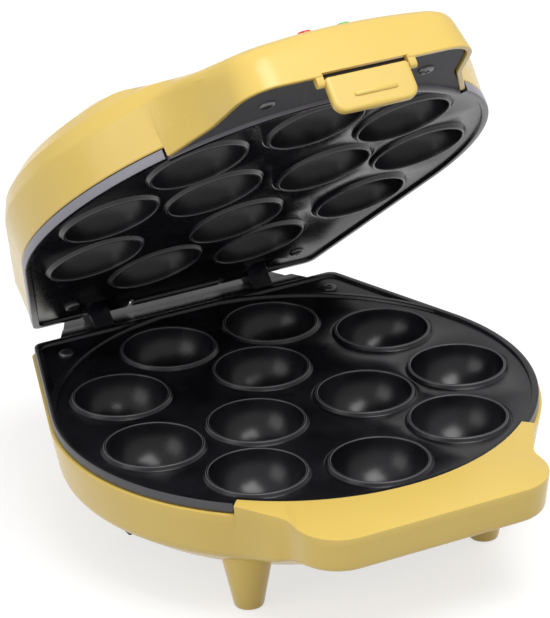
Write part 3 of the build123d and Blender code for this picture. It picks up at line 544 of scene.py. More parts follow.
def turned(bm, profile, centre=(0, 0), count=64, closed_end=True):
    """Surface of revolution about a vertical axis; profile is (radius, height) pairs.

    A radius of 0 at either end closes it with a pole. Returns the loops of vertices.
    """
    loops = []
    for radius, height in profile:
        if radius < 1e-6:
            loops.append([bm.verts.new(Vector((*centre, height)) * MM)])
        else:
            loops.append(ring_points(bm, [
                (centre[0] + radius * cos(2 * pi * i / count),
                 centre[1] + radius * sin(2 * pi * i / count), height)
                for i in range(count)]))
    for low, high in zip(loops, loops[1:]):
        if len(low) == 1 or len(high) == 1:
            pole, loop = (low[0], high) if len(low) == 1 else (high[0], low)
            for i in range(count):
                bm.faces.new((loop[i], loop[(i + 1) % count], pole))
        else:
            join_loops(bm, [low, high])
    return loops


def rounded_profile(corners, radius, steps=3):
    """Open (radius, height) profile with its inner corners rounded.

    Each corner may carry its own rounding as a third number.
    """
    result = [tuple(corners[0][:2])]
    for before, corner, after in zip(corners, corners[1:], corners[2:]):
        own = corner[2] if len(corner) > 2 else radius
        here = Vector(corner[:2])
        a, b = Vector(before[:2]) - here, Vector(after[:2]) - here
        reach = min(own, a.length * 0.45, b.length * 0.45)
        start, end = here + a.normalized() * reach, here + b.normalized() * reach
        for index in range(steps + 1):
            t = index / steps
            point = (1 - t) ** 2 * start + 2 * t * (1 - t) * here + t ** 2 * end
            result.append((point.x, point.y))
    result.append(tuple(corners[-1][:2]))
    return result


def swing_open(bm):
    """Move a mesh built with the lid shut to where it rests."""
    bmesh.ops.transform(bm, matrix=open_lid(), verts=bm.verts)


def round_sharp_edges(bm, width, angle=35, steps=2):
    """Bevel the edges sharper than an angle, width in millimetres."""
    hard = [edge for edge in bm.edges
            if len(edge.link_faces) == 2 and edge.calc_face_angle() > radians(angle)]
    bmesh.ops.bevel(bm, geom=hard, offset=width * MM, segments=steps, profile=0.5,
                    affect="EDGES", clamp_overlap=True)


def well_places():
    """Centres of the wells, in millimetres."""
    rings = ((OUTER_WELLS, OUTER_RING, -90), (INNER_WELLS, INNER_RING, 90))
    return [(radius * cos(radians(first + 360 / count * i)),
             radius * sin(radians(first + 360 / count * i)))
            for count, radius, first in rings for i in range(count)]


# ---------------------------------------------------------------- baking plates


def plate_loop(rear, inset, height):
    """Edge of a baking plate, set in by a margin, anticlockwise from the front notch."""
    corner = 5.0
    side = radians(18.5)
    radius, back = 106.7 - inset, rear - inset
    corner_y = back - corner
    corner_x = (radius - corner - corner_y * sin(side)) / cos(side)
    points = (arc(0, 0, 103.4 - inset, -131.9, -48.1, 72)
              + arc(0, 0, radius, -48.1, 18.5, 44)
              + arc(corner_x, corner_y, corner, 18.5, 90, 8)
              + arc(-corner_x, corner_y, corner, 90, 161.5, 8)
              + arc(0, 0, radius, 161.5, 228.1, 44))
    return [(x, y, height) for x, y in points]


def plate_body(bm, rear, plate):
    """Slab, raised lip, moats, crests and cups of one baking plate, wells up."""
    lip = plate.lip_width / MM
    edge = [(0.5, UNDER), (0.15, UNDER + 0.15), (0, UNDER + 0.5), (0, CREST - 0.5),
            (0.15, CREST - 0.15), (0.5, CREST), (lip - 0.45, CREST), (lip - 0.12, CREST - 0.12),
            (lip + 0.05, CREST - 0.4), (lip + 0.2, FACE + 0.4), (lip + 0.4, FACE + 0.1),
            (lip + 0.9, FACE)]
    loops = [ring_points(bm, plate_loop(rear, inset, height)) for inset, height in edge]
    join_loops(bm, loops)
    well = plate.well_radius / MM
    moat = plate.moat_radius / MM
    crest = well + 0.9
    inside = [(moat, FACE), (moat - 0.22, FACE - 0.08), (moat - 0.42, FACE - 0.28),
              (moat - 0.62, FACE - 0.34), (moat - 0.82, FACE - 0.26), (moat - 1.0, FACE - 0.02),
              (crest + 0.38, CREST - 0.45), (crest + 0.2, CREST - 0.14), (crest, CREST),
              (well + 0.45, CREST), (well + 0.2, CREST - 0.08), (well + 0.06, CREST - 0.28)]
    inside += [(well * cos(radians(a)), PARTING - well * sin(radians(a)))
               for a in (2.2, 5, 10, 16, 22, 28, 34, 40, 46, 52, 58, 64, 70, 76, 82)]
    inside.append((0, PARTING - well))
    cup = well + 2.2
    first = radians(11.95)
    outside = [(cup * cos(first + (pi / 2 - first) * i / 12),
                PARTING - cup * sin(first + (pi / 2 - first) * i / 12)) for i in range(12)]
    outside[0] = (outside[0][0], UNDER)
    outside.append((0, PARTING - cup))
    upper_holes, lower_holes = [], []
    for centre in well_places():
        upper_holes.append(turned(bm, inside, centre)[0])
        lower_holes.append(turned(bm, outside, centre)[0])
    fill_between(bm, loops[-1], upper_holes, FACE)
    fill_between(bm, loops[0], lower_holes, UNDER)


def prism(bm, outline, low, high, rounding):
    """Closed prism from an outline of (x, y), with rounded edges, in millimetres."""
    solid = bmesh.new()
    bottom = ring_points(solid, [(x, y, low) for x, y in outline])
    top = ring_points(solid, [(x, y, high) for x, y in outline])
    join_loops(solid, [bottom, top])
    solid.faces.new(bottom[::-1])
    solid.faces.new(top)
    bmesh.ops.recalc_face_normals(solid, faces=solid.faces)
    round_sharp_edges(solid, rounding)
    add_solid(bm, solid)


def add_solid(bm, solid):
    """Append one mesh under construction to another."""
    mesh = bpy.data.meshes.new("build_step")
    solid.to_mesh(mesh)
    solid.free()
    bm.from_mesh(mesh)
    bpy.data.meshes.remove(mesh)


def hinge_arms(bm, start, width, root, heights):
    """Pair of hinge arms, each the hull of an eye and a root on the plate."""
    for left in (start, -start - width):
        solid = bmesh.new()
        section = arc(HINGE_Y, HINGE_Z, 5.5, 0, 345, 23)
        section += [(y, z) for y in root for z in heights]
        for x in (left, left + width):
            ring_points(solid, [(x, y, z) for y, z in section])
        hull = bmesh.ops.convex_hull(solid, input=solid.verts)
        bmesh.ops.delete(solid, geom=list({*hull["geom_interior"], *hull["geom_unused"]}),
                         context="VERTS")
        bmesh.ops.dissolve_limit(solid, angle_limit=radians(1), verts=solid.verts,
                                 edges=solid.edges)
        bmesh.ops.recalc_face_normals(solid, faces=solid.faces)
        round_sharp_edges(solid, 0.5)
        add_solid(bm, solid)


def rim_bead(bm, radius, width, start, end):
    """Raised bead that carries the round rim across the plate's rear corners."""
    inner, outer = radius - width / 2, radius + width / 2
    section = [(inner - 0.1, FACE - 0.1), (inner + 0.1, FACE + 0.5), (inner + 0.3, CREST - 0.4),
               (inner + 0.6, CREST - 0.06), (inner + 0.95, CREST - 0.03),
               (outer - 0.95, CREST - 0.03), (outer - 0.6, CREST - 0.06),
               (outer - 0.3, CREST - 0.4), (outer - 0.1, FACE + 0.5), (outer + 0.1, FACE - 0.1)]
    solid = bmesh.new()
    loops = []
    for x, y in arc(0, 0, 1, start, end, 96):
        loops.append(ring_points(solid, [(x * r, y * r, z) for r, z in section]))
    join_loops(solid, loops)
    solid.faces.new(loops[0][::-1])
    solid.faces.new(loops[-1])
    add_solid(bm, solid)


def cut_away(bm, boxes, cutter=None):
    """Mesh left after boxes, given by their corners in millimetres, are cut from it."""
    bmesh.ops.recalc_face_normals(bm, faces=bm.faces)
    cutter = cutter or bmesh.new()
    bmesh.ops.recalc_face_normals(cutter, faces=cutter.faces)
    for low, high in boxes:
        made = bmesh.ops.create_cube(cutter, size=1.0)["verts"]
        middle = (Vector(low) + Vector(high)) / 2 * MM
        size = (Vector(high) - Vector(low)) * MM
        for corner in made:
            corner.co = middle + Vector(a * b for a, b in zip(corner.co, size))
    objects = []
    for name, source in (("cut_target", bm), ("cut_boxes", cutter)):
        mesh = bpy.data.meshes.new(name)
        source.to_mesh(mesh)
        source.free()
        thing = bpy.data.objects.new(name, mesh)
        bpy.context.scene.collection.objects.link(thing)
        objects.append(thing)
    step = objects[0].modifiers.new("cut", "BOOLEAN")
    step.operation = "DIFFERENCE"
    step.solver = "EXACT"
    step.object = objects[1]
    view = bpy.context.evaluated_depsgraph_get()
    result = bmesh.new()
    result.from_mesh(objects[0].evaluated_get(view).to_mesh())
    for thing in objects:
        mesh = thing.data
        bpy.data.objects.remove(thing)
        bpy.data.meshes.remove(mesh)
    return result


class CAKEPOP_OT_lower_plate(bpy.types.Operator):
    """Build the lower baking plate with its rear ledge, rim bead and hinge ears"""

    bl_idname = "cake_pop.lower_plate"
    bl_label = "Build Lower Plate"

    def execute(self, context):
        bm = bmesh.new()
        plate_body(bm, 106.0, context.scene.cake_pop_maker.plate)
        prism(bm, [(-63.8, 104.5), (63.8, 104.5), (63.8, 106), (59.3, 113.5), (-59.3, 113.5),
                   (-63.8, 106)], UNDER, CREST - 0.02, 0.6)
        prism(bm, [(-59.2, 112.5), (59.2, 112.5), (59.2, 113.6), (52, 127), (-52, 127),
                   (-59.2, 113.6)], UNDER + 0.02, FACE, 0.6)
        rim_bead(bm, 105.2, 3.0, 24, 156)
        hinge_arms(bm, 36.0, 10.0, (105, 113.5), (UNDER + 0.04, FACE))
        piece = make_piece("lower_baking_plate", bm, "base", plate_coating(),
                           ("lower_plate",))
        # Painted sheen: the outer faces are painted lighter than the coating, and the crest edges carry
        # painted highlight lines.
        painted_light_bands(piece, plate_edge("painted_sheen_lower_edge", (0.07, 0.07, 0.078)),
                  plate_edge("painted_highlight_crest", (0.085, 0.085, 0.092)), 102.0)
        return {"FINISHED"}


class CAKEPOP_OT_upper_plate(bpy.types.Operator):
    """Build the upper baking plate with its hinge notches and knuckles"""

    bl_idname = "cake_pop.upper_plate"
    bl_label = "Build Upper Plate"

    def execute(self, context):
        bm = bmesh.new()
        plate_body(bm, 121.0, context.scene.cake_pop_maker.plate)
        flip = Matrix.Translation((0, 0, 2 * PARTING * MM)) @ Matrix.Diagonal((1, 1, -1, 1))
        bmesh.ops.transform(bm, matrix=flip, verts=bm.verts)
        bmesh.ops.reverse_faces(bm, faces=bm.faces)
        for near, far, front in ((35.5, 46.5, 104.5), (22.2, 48.3, 115.7)):
            bm = cut_away(bm, [((near, front, 55), (far, 127, 68)),
                               ((-far, front, 55), (-near, 127, 68))])
        hinge_arms(bm, 24.5, 10.7, (110, 118), (60.7, 63.7))
        swing_open(bm)
        piece = make_piece("upper_baking_plate", bm, "lid", plate_coating(),
                           ("upper_plate",))
        # Painted reflection: the lid plate's outer faces are painted light grey, and the crest edges
        # carry painted highlight lines.
        painted_light_bands(piece, plate_edge("plate_edge_light", (0.27, 0.262, 0.30)),
                  plate_edge("painted_highlight_crest", (0.085, 0.085, 0.092)), 102.0)
        return {"FINISHED"}


# ---------------------------------------------------------------- shells


def rounded_path(corners, step=1.0):
    """Evenly spaced points along a polyline; each corner is (x, y, rounding)."""
    points = [Vector(corners[0][:2])]
    for before, corner, after in zip(corners, corners[1:], corners[2:]):
        here = Vector(corner[:2])
        a = (Vector(before[:2]) - here).normalized()
        b = (Vector(after[:2]) - here).normalized()
        half = a.angle(b) / 2
        reach = corner[2] / (sin(half) / cos(half))
        middle = here + (a + b).normalized() * corner[2] / sin(half)
        start, end = here + a * reach - middle, here + b * reach - middle
        sweep = start.angle_signed(end)
        for index in range(17):
            turn = -sweep * index / 16
            points.append(middle + Matrix.Rotation(turn, 2) @ start)
    points.append(Vector(corners[-1][:2]))
    return points


def spaced(points, count):
    """Points resampled to a count, evenly along their length."""
    lengths = [0.0]
    for a, b in zip(points, points[1:]):
        lengths.append(lengths[-1] + (b - a).length)
    result, piece = [], 0
    for index in range(count):
        along = lengths[-1] * index / (count - 1)
        while piece < len(points) - 2 and lengths[piece + 1] < along:
            piece += 1
        span = lengths[piece + 1] - lengths[piece]
        share = (along - lengths[piece]) / span if span > 1e-9 else 0
        result.append(points[piece].lerp(points[piece + 1], min(max(share, 0), 1)))
    return result


def grip_path(reach, front, half, neck, neck_half, corner, inset, count):
    """Front grip's outline from the left notch to the right one, set in by a margin."""
    notch = (reach * sin(radians(41.3)), -reach * cos(radians(41.3)))
    path = rounded_path([(-notch[0], notch[1], 0), (-neck_half, -neck, 12),
                         (-half, -front, corner), (half, -front, corner),
                         (neck_half, -neck, 12), (*notch, 0)])
    path = spaced(path, 241)
    if inset:
        moved = []
        for index, point in enumerate(path):
            along = path[min(index + 1, 240)] - path[max(index - 1, 0)]
            along.normalize()
            moved.append(point + Vector((-along.y, along.x)) * inset)
        path = moved
    return spaced(path, count)


FRONT_STATIONS = 121


def body_path(radius, rear, block=None):
    """Round body behind the notches, anticlockwise from the right one to the left one.

    A block is (half width at its rear, half width at its root, its rear y).
    """
    corner = 5.0
    side = radians(18.5)
    corner_y = rear - corner
    corner_x = (radius - corner - corner_y * sin(side)) / cos(side)
    right = arc(0, 0, radius, -48.7, 18.5, 56) + arc(corner_x, corner_y, corner, 22, 90, 8)
    root = min(block[1] if block else 65.1, corner_x - 0.4)
    tip = min(block[0] if block else 60.6, corner_x - 0.8)
    back = block[2] if block else rear
    right += [(root, rear), (tip, back), (tip - 1.2, back), (tip * 0.66, back),
              (tip * 0.33, back), (0, back)]
    left = [(-x, y) for x, y in right[-2::-1]]
    return [Vector(point) for point in right + left]


def front_arc(radius):
    """Points in front of the notches at a radius, left to right."""
    return [Vector(point) for point in arc(0, 0, radius, -131.3, -48.7, FRONT_STATIONS - 1)]


def ease(value):
    """Smooth step from 0 to 1."""
    value = min(max(value, 0), 1)
    return value * value * (3 - 2 * value)


def smooth_ring(ring, centre, reach, passes):
    """Blend a closed ring of points near a station."""
    count = len(ring)
    for _ in range(passes):
        before = [point.copy() for point in ring]
        for offset in range(-reach, reach + 1):
            index = (centre + offset) % count
            share = 0.5 * ease(1 - abs(offset) / (reach + 1))
            mean = (before[(index - 1) % count] + before[(index + 1) % count]) / 2
            ring[index] = before[index].lerp(mean, share)
    return ring


def rounded_edge(before, edge, after, reach, steps=4):
    """Rings that round the edge ring between its neighbours; reach is one per station."""
    rings = []
    for index in range(steps + 1):
        t = index / steps
        ring = []
        for a, here, b, far in zip(before, edge, after, reach):
            start = here + (a - here) * min(far / max((a - here).length, 1e-6), 0.48)
            end = here + (b - here) * min(far / max((b - here).length, 1e-6), 0.48)
            ring.append((1 - t) ** 2 * start + 2 * t * (1 - t) * here + t ** 2 * end)
        rings.append(ring)
    return rings


def close_with_pole(bm, ring, height):
    """Cap a ring with a fan to a point on the axis."""
    pole = bm.verts.new(Vector((0, 0, height)) * MM)
    for index, corner in enumerate(ring):
        bm.faces.new((corner, ring[(index + 1) % len(ring)], pole))


def lid_top(x, y, dome, drop):
    """Height of the lid's top: its dome, cut by the slope that rises from the grip."""
    slope = 81.5 + (y + 135.5) * 0.218 - 3.6 * (x / 50) ** 2 * ease((-60 - y) / 50)
    blend = ease((slope - dome + 3) / 6)
    return slope * (1 - blend) + dome * blend - drop


def lid_rings(inset):
    """Rings of the lid's shell from its lip to near its top, set in by a wall."""
    wall = inset
    lip = ([Vector((*p, 60.0)) for p in grip_path(106.3, 135.5, 52.5, 103.5, 58.5, 17,
                                                  wall, FRONT_STATIONS)]
           + [Vector((*p, 64.2)) for p in body_path(106.4 - wall, 120.7 - wall)])
    shoulder = [Vector((*p, 0)) for p in front_arc(104.6 - wall)]
    shoulder += [Vector((*p, 91.0)) for p in body_path(104.6 - wall, 118.9 - wall)]
    edge = grip_path(107.5, 130.55, 47.55, 103.5, 60.0, 14, wall, FRONT_STATIONS)
    crease = [Vector((*p, lid_top(p.x, p.y, 110, 0))) for p in edge]
    crease += [Vector((*p, 83.4)) for p in body_path(107.5 - wall, 121.8 - wall)]
    last = FRONT_STATIONS - 1
    for index in range(FRONT_STATIONS):
        side = ease(min(index, last - index) / 14)
        round_point = front_arc(107.5 - wall)[index]
        crease[index] = Vector((*round_point, 83.4)).lerp(crease[index], side)
    for station in (0, last):
        smooth_ring(crease, station, 26, 60)
    for point in shoulder:
        point.z = lid_top(point.x, point.y, 91.0, 0)
    rings = [lip, crease, shoulder]
    for radius, height in ((98, 97.2), (92.5, 99.8), (86, 101.8), (75, 103.4), (62, 104.3),
                           (46, 104.9), (30, 105.2), (15, 105.35)):
        ring = []
        for point in front_arc(radius - wall) + body_path(
                radius - wall, radius - wall + 14.3 * ease(radius / 62)):
            ring.append(Vector((*point, lid_top(point.x, point.y, height, 0))))
        rings.append(ring)
    return [[Vector((p.x, p.y, p.z - (wall if level else 0))) for p in ring]
            for level, ring in enumerate(rings)]


def station_values(front, body, spread=24):
    """One number per station: a front value in the grip, easing to the body's value."""
    last = FRONT_STATIONS - 1
    values = [body + (front - body) * ease(min(i, last - i) / spread)
              for i in range(FRONT_STATIONS)]
    return values + [body] * len(body_path(100, 99))


def between(ring, other, distance):
    """Ring at a distance from one ring towards another."""
    return [a + (b - a) * min(distance / max((b - a).length, 1e-6), 0.5)
            for a, b in zip(ring, other)]


def shell_mesh(outer, inner, edge_reach, lip_round):
    """Closed shell from its outer and inner rings, with a rounded lip and edge."""
    bm = bmesh.new()
    lip, crease, shoulder = outer[:3]
    inner_lip = inner[0]
    rings = [between(inner_lip, inner[1], lip_round), between(inner_lip, lip, lip_round * 0.6),
             between(lip, inner_lip, lip_round * 0.6), between(lip, crease, lip_round)]
    middle = [[a.lerp(b, t) for a, b in zip(lip, crease)] for t in (0.25, 0.5)]
    rings += middle
    rings += rounded_edge(lip, crease, shoulder, edge_reach)
    rings += outer[2:]
    loops = [ring_points(bm, ring) for ring in rings]
    join_loops(bm, loops)
    close_with_pole(bm, loops[-1], outer[-1][0].z)
    inside = [ring_points(bm, ring) for ring in inner[1:]]
    join_loops(bm, [loops[0], *inside])
    close_with_pole(bm, inside[-1], inner[-1][0].z)
    return bm


class CAKEPOP_OT_lid_shell(bpy.types.Operator):
    """Build the lid's shell with its grip, hinge windows and latch lugs"""

    bl_idname = "cake_pop.lid_shell"
    bl_label = "Build Lid Shell"

    def execute(self, context):
        bm = shell_mesh(lid_rings(0), lid_rings(2.5), station_values(7.0, 1.2), 0.5)
        bm = cut_away(bm, [((22.2, 112, 58), (48.3, 129, 72.96)),
                           ((-48.3, 112, 58), (-22.2, 129, 72.96)),
                           ((-19.8, -139, 58), (19.8, -131.8, 61.4))])
        for left in (19.35, -22.8):
            lug = bmesh.new()
            section = arc(-133.4, 57.4, 1.7, 180, 360, 10) + [(-131.7, 61.6), (-135.1, 61.6)]
            for x in (left, left + 3.45):
                ring_points(lug, [(x, y, z) for y, z in section])
            hull = bmesh.ops.convex_hull(lug, input=lug.verts)
            bmesh.ops.delete(lug, geom=list({*hull["geom_interior"], *hull["geom_unused"]}),
                             context="VERTS")
            bmesh.ops.dissolve_limit(lug, angle_limit=radians(1), verts=lug.verts,
                                     edges=lug.edges)
            round_sharp_edges(lug, 0.35)
            add_solid(bm, lug)
        swing_open(bm)
        make_piece("lid_shell", bm, "lid", shell_yellow(), ("upper_housing",),
                   sharp=16)
        return {"FINISHED"}


def base_ring(level):
    """Ring of the base's outside: 0 lip, 1 crease and grip foot, 2 shoulder, 3 floor edge."""
    radius, height, rear = ((108.0, 53.8, 107.3), (104.0, 32.0, 103.3), (90.0, 22.0, 89.3),
                            (72.0, 15.8, 71.3))[level]
    block = (60.6, 65.1, (114.8, 114.8, 110.0, 100.0)[level])
    body = [Vector((*p, height)) for p in body_path(radius, rear, block)]
    if level == 0:
        front = grip_path(109.8, 130.4, 58.8, 103.0, 58.8, 20, 0, FRONT_STATIONS)
        return [Vector((*p, 59.3 - 1.7 * ease((-p.y - 80) / 50))) for p in front] + body
    ring = [Vector((*p, height)) for p in front_arc(radius)]
    if level > 1:
        return ring + body
    foot = grip_path(109.8, 130.4, 58.8, 103.0, 58.8, 20, 1.9, FRONT_STATIONS)
    last = FRONT_STATIONS - 1
    for index, point in enumerate(foot):
        steps = min(index, last - index)
        place = ring[index].xy.lerp(point, ease(steps / 12))
        ring[index] = Vector((*place, height + (42.0 - height) * ease(steps / 24)))
    ring += body
    for station in (0, last):
        smooth_ring(ring, station, 10, 10)
    return ring


def base_outside():
    """Closed solid of the base's outside, with the grip's shelf and the lip on top."""
    bm = bmesh.new()
    lip, crease, shoulder, floor = [base_ring(level) for level in range(4)]
    shelf = [Vector((*p, 59.25)) for p in front_arc(103.0)]
    shelf += [Vector((*p, 53.8)) for p in body_path(103.0, 103.0)]
    rings = [shelf, between(lip, shelf, 0.5), [p - Vector((0, 0, 0.12)) for p in
                                               between(lip, shelf, 0.15)]]
    rings.append(between(lip, crease, 0.5))
    rings += [[a.lerp(b, t) for a, b in zip(lip, crease)] for t in (0.25, 0.5)]
    rings += rounded_edge(lip, crease, shoulder, station_values(2.0, 3.0))
    rings += rounded_edge(crease, shoulder, floor, station_values(3.0, 3.0))
    rings += rounded_edge(shoulder, floor, [Vector((0, 0, 15.8))] * len(floor),
                          station_values(3.0, 3.0))
    rings.append([Vector((p.x * 0.5, p.y * 0.5, 15.8)) for p in floor])
    loops = [ring_points(bm, ring) for ring in rings]
    join_loops(bm, loops)
    close_with_pole(bm, loops[-1], 15.8)
    close_with_pole(bm, loops[0], 58.0)
    return bm


def base_hollow():
    """Closed solid of the room inside the base, which opens at its lip."""
    bm = bmesh.new()
    loops = []
    for radius, front, height, rear in ((20, 20, 18.3, 20), (69.5, 69.5, 18.3, 68.8),
                                        (85.5, 85.5, 23.3, 84.8), (96.5, 96.5, 31.8, 95.8),
                                        (105.5, 103.8, 52.0, 104.8), (105.5, 103.8, 80.0, 104.8)):
        points = front_arc(front) + body_path(radius, rear)
        loops.append(ring_points(bm, [Vector((*p, height)) for p in points]))
    join_loops(bm, loops)
    close_with_pole(bm, loops[0], 18.3)
    close_with_pole(bm, loops[-1], 80.0)
    return bm


class CAKEPOP_OT_base_shell(bpy.types.Operator):
    """Build the base's shell with its grip, feet, floor vents and rear block"""

    bl_idname = "cake_pop.base_shell"
    bl_label = "Build Base Shell"

    def execute(self, context):
        bm = cut_away(base_outside(), [], base_hollow())
        bm = cut_away(bm, [((-17, y - 1.5, 10), (17, y + 1.5, 22)) for y in
                           (-22.5, -13.5, -4.5, 4.5, 13.5, 22.5)])
        for x in (-57.7, 57.7):
            for y in (-63.4, 88.0):
                cone = bmesh.new()
                turned(cone, [(0, 0.4), (5.6, 0.4), (6.2, 0.65), (6.5, 1.3), (12.2, 30.0),
                              (0, 30.0)], (x, y), 48)
                bmesh.ops.recalc_face_normals(cone, faces=cone.faces)
                add_solid(bm, cone)
        make_piece("base_shell", bm, "base", shell_yellow(),
                   ("lower_housing",), sharp=32)
        return {"FINISHED"}


# ---------------------------------------------------------------- small pieces


class CAKEPOP_OT_latch(bpy.types.Operator):
    """Build the latch tab with its soft edges, rolled top and finger bar"""

    bl_idname = "cake_pop.latch"
    bl_label = "Build Latch"

    def execute(self, context):
        front, back = -135.3, -131.9
        outline = [Vector(p) for p in rounded_path(
            [(0, 43.1, 0), (19.2, 43.4, 5.0), (19.1, 59.3, 1.6), (-19.1, 59.3, 1.6),
             (-19.2, 43.4, 5.0), (0, 43.1, 0)])[:-1]]
        centre = Vector((0, 51.3))
        bm = bmesh.new()
        loops = []
        for inset, y in ((1.6, back), (0.5, back), (0.12, back - 0.14), (0, back - 0.5),
                         (0, front + 1.1), (0.25, front + 0.5), (0.75, front + 0.14),
                         (1.5, front), (2.2, front), (2.6, front)):
            ring = []
            for point in outline:
                inward = (centre - point)
                inward.x *= 0.55
                ring.append(point + inward.normalized() * inset)
            loops.append(ring_points(bm, [(p.x, y, p.y) for p in ring]))
        join_loops(bm, loops)
        bm.faces.new(loops[0][::-1])
        bm.faces.new(loops[-1])
        bmesh.ops.recalc_face_normals(bm, faces=bm.faces)
        bar = bmesh.new()
        rings = []
        for grow, y in ((0.35, front + 0.4), (0.35, front - 0.05), (0.15, front - 0.55),
                        (-0.30, front - 0.75)):
            half, high = 9.7 + grow, 0.85 + grow
            rings.append(ring_points(bar, [
                (x + 0.7, y, 49.8 + z) for x, z in arc(half - high, 0, high, -90, 90, 8)
                + arc(high - half, 0, high, 90, 270, 8)]))
        join_loops(bar, rings)
        bar.faces.new(rings[0][::-1])
        bar.faces.new(rings[-1])
        bmesh.ops.recalc_face_normals(bar, faces=bar.faces)
        add_solid(bm, bar)
        swing_open(bm)
        make_piece("latch_tab", bm, "latch", shell_yellow(), ("latch",),
                   sharp=45)
        pin = bmesh.new()
        ends = [ring_points(pin, [(x, y, z) for y, z in arc(-133.6, 58, radius, 0, 345, 23)])
                for x, radius in ((-21.0, 0.6), (-20.8, 0.8), (20.8, 0.8), (21.0, 0.6))]
        join_loops(pin, ends)
        pin.faces.new(ends[0][::-1])
        pin.faces.new(ends[-1])
        swing_open(pin)
        make_piece("latch_hinge_pin", pin, "lid", pin_steel(), ("latch_pin",))
        return {"FINISHED"}


class CAKEPOP_OT_screws(bpy.types.Operator):
    """Build the screws that show, with round heads and cross recesses"""

    bl_idname = "cake_pop.screws"
    bl_label = "Build Screws"

    def execute(self, context):
        groups = (("base_plate_screws", "base", ((-67.6, 91.3), (67.6, 91.3)), FACE, 1,
                   "lower_plate_screws"),
                  ("lid_plate_screws", "lid", ((-57.6, 102.4), (57.6, 102.4)), 60.7, -1,
                   "upper_plate_screws"),
                  ("grip_panel_screws", "lid", ((-36.8, -114.2), (36.8, -114.2)), 60.8, -1,
                   "panel_screws"))
        for name, body, places, seat, up, node in groups:
            bm = bmesh.new()
            for x, y in places:
                head = bmesh.new()
                profile = [(0, -5.5), (1.6, -5.5), (1.6, 0.02), (3.4, 0.02), (3.4, 0.5),
                           (3.22, 0.95), (2.8, 1.28), (2.1, 1.5), (1.2, 1.58), (0, 1.6)]
                turned(head, [(r, seat + up * z) for r, z in profile], (x, y), 40)
                bmesh.ops.recalc_face_normals(head, faces=head.faces)
                lows = sorted((seat + up * 0.75, seat + up * 2.5))
                head = cut_away(head, [((x - 1.7, y - 0.4, lows[0]), (x + 1.7, y + 0.4, lows[1]))])
                head = cut_away(head, [((x - 0.4, y - 1.7, lows[0]), (x + 0.4, y + 1.7, lows[1]))])
                add_solid(bm, head)
            if body == "lid":
                swing_open(bm)
            make_piece(name, bm, body, dark_screw(), (node,), sharp=35)
        return {"FINISHED"}


class CAKEPOP_OT_cord_cleats(bpy.types.Operator):
    """Build the two hooks under the base that the cord winds round"""

    bl_idname = "cake_pop.cord_cleats"
    bl_label = "Build Cord Cleats"

    def execute(self, context):
        for name, side, node in (("cleat_hook_left", -1, "cord_wrap_cleat_left"),
                                 ("cleat_hook_right", 1, "cord_wrap_cleat_right")):
            bm = bmesh.new()
            for near, far, low, high in ((58.0, 69.0, 10.9, 15.6), (58.05, 81.5, 10.8, 13.3),
                                         (79.0, 81.45, 9.0, 13.25)):
                prism(bm, [(side * near, 3), (side * far, 3), (side * far, 13),
                           (side * near, 13)], low, high, 0.4)
            make_piece(name, bm, "base", black_plastic(), (node,))
        return {"FINISHED"}


# ---------------------------------------------------------------- stage


def soft_lamp(name, place, target, size, power):
    """Square area lamp aimed at a point."""
    lamp = bpy.data.lights.new(name, "AREA")
    lamp.shape = "SQUARE"
    lamp.size = size
    lamp.energy = power
    holder = bpy.data.objects.new(name, lamp)
    bpy.context.scene.collection.objects.link(holder)
    holder.location = place
    holder.rotation_euler = (Vector(target) - Vector(place)).to_track_quat("-Z", "Y").to_euler()
    return holder


def stage_floor(colour):
    """Large pale floor that keeps the object's shadow."""
    bm = bmesh.new()
    bmesh.ops.create_grid(bm, x_segments=8, y_segments=8, size=6.0)
    mesh = bpy.data.meshes.new("stage_floor")
    bm.to_mesh(mesh)
    bm.free()
    floor = bpy.data.objects.new("stage_floor", mesh)
    bpy.context.scene.collection.objects.link(floor)
    material = bpy.data.materials.new("stage_floor")
    material.use_nodes = True
    tree = material.node_tree
    shader = tree.nodes["Principled BSDF"]
    shader.inputs["Base Color"].default_value = (*colour, 1)
    shader.inputs["Roughness"].default_value = 0.9
    shader.inputs["Specular IOR Level"].default_value = 0.1
    path = add_node(tree, "LightPath")
    seen = add_node(tree, "Math", {"operation": "MAXIMUM"})
    any_view = add_node(tree, "Math", {"operation": "MAXIMUM"})
    glow = add_node(tree, "Emission", Color=(1, 1, 1, 1))
    share = add_node(tree, "Math", {"operation": "MULTIPLY"})
    share.inputs[1].default_value = 0.68
    both = add_node(tree, "AddShader")
    tree.links.new(path.outputs["Is Camera Ray"], seen.inputs[0])
    tree.links.new(path.outputs["Is Glossy Ray"], seen.inputs[1])
    tree.links.new(seen.outputs[0], any_view.inputs[0])
    tree.links.new(path.outputs["Is Transmission Ray"], any_view.inputs[1])
    tree.links.new(any_view.outputs[0], share.inputs[0])
    tree.links.new(share.outputs[0], glow.inputs["Strength"])
    tree.links.new(shader.outputs["BSDF"], both.inputs[0])
    tree.links.new(glow.outputs["Emission"], both.inputs[1])
    tree.links.new(both.outputs[0], tree.nodes["Material Output"].inputs["Surface"])
    mesh.materials.append(material)
    return floor


def room_light(strength):
    """Even white room, at full white where the camera or glass sees it, and at the room light's strength
    elsewhere.
    """
    world = bpy.data.worlds.new("white_room")
    bpy.context.scene.world = world
    world.use_nodes = True
    tree = world.node_tree
    room = tree.nodes["Background"]
    room.inputs["Color"].default_value = (1, 1, 1, 1)
    path = add_node(tree, "LightPath")
    seen = add_node(tree, "Math", {"operation": "MAXIMUM"})
    level = add_node(tree, "MapRange", To_Min=strength, To_Max=1.0)
    tree.links.new(path.outputs["Is Camera Ray"], seen.inputs[0])
    tree.links.new(path.outputs["Is Transmission Ray"], seen.inputs[1])
    tree.links.new(seen.outputs[0], level.inputs["Value"])
    tree.links.new(level.outputs["Result"], room.inputs["Strength"])


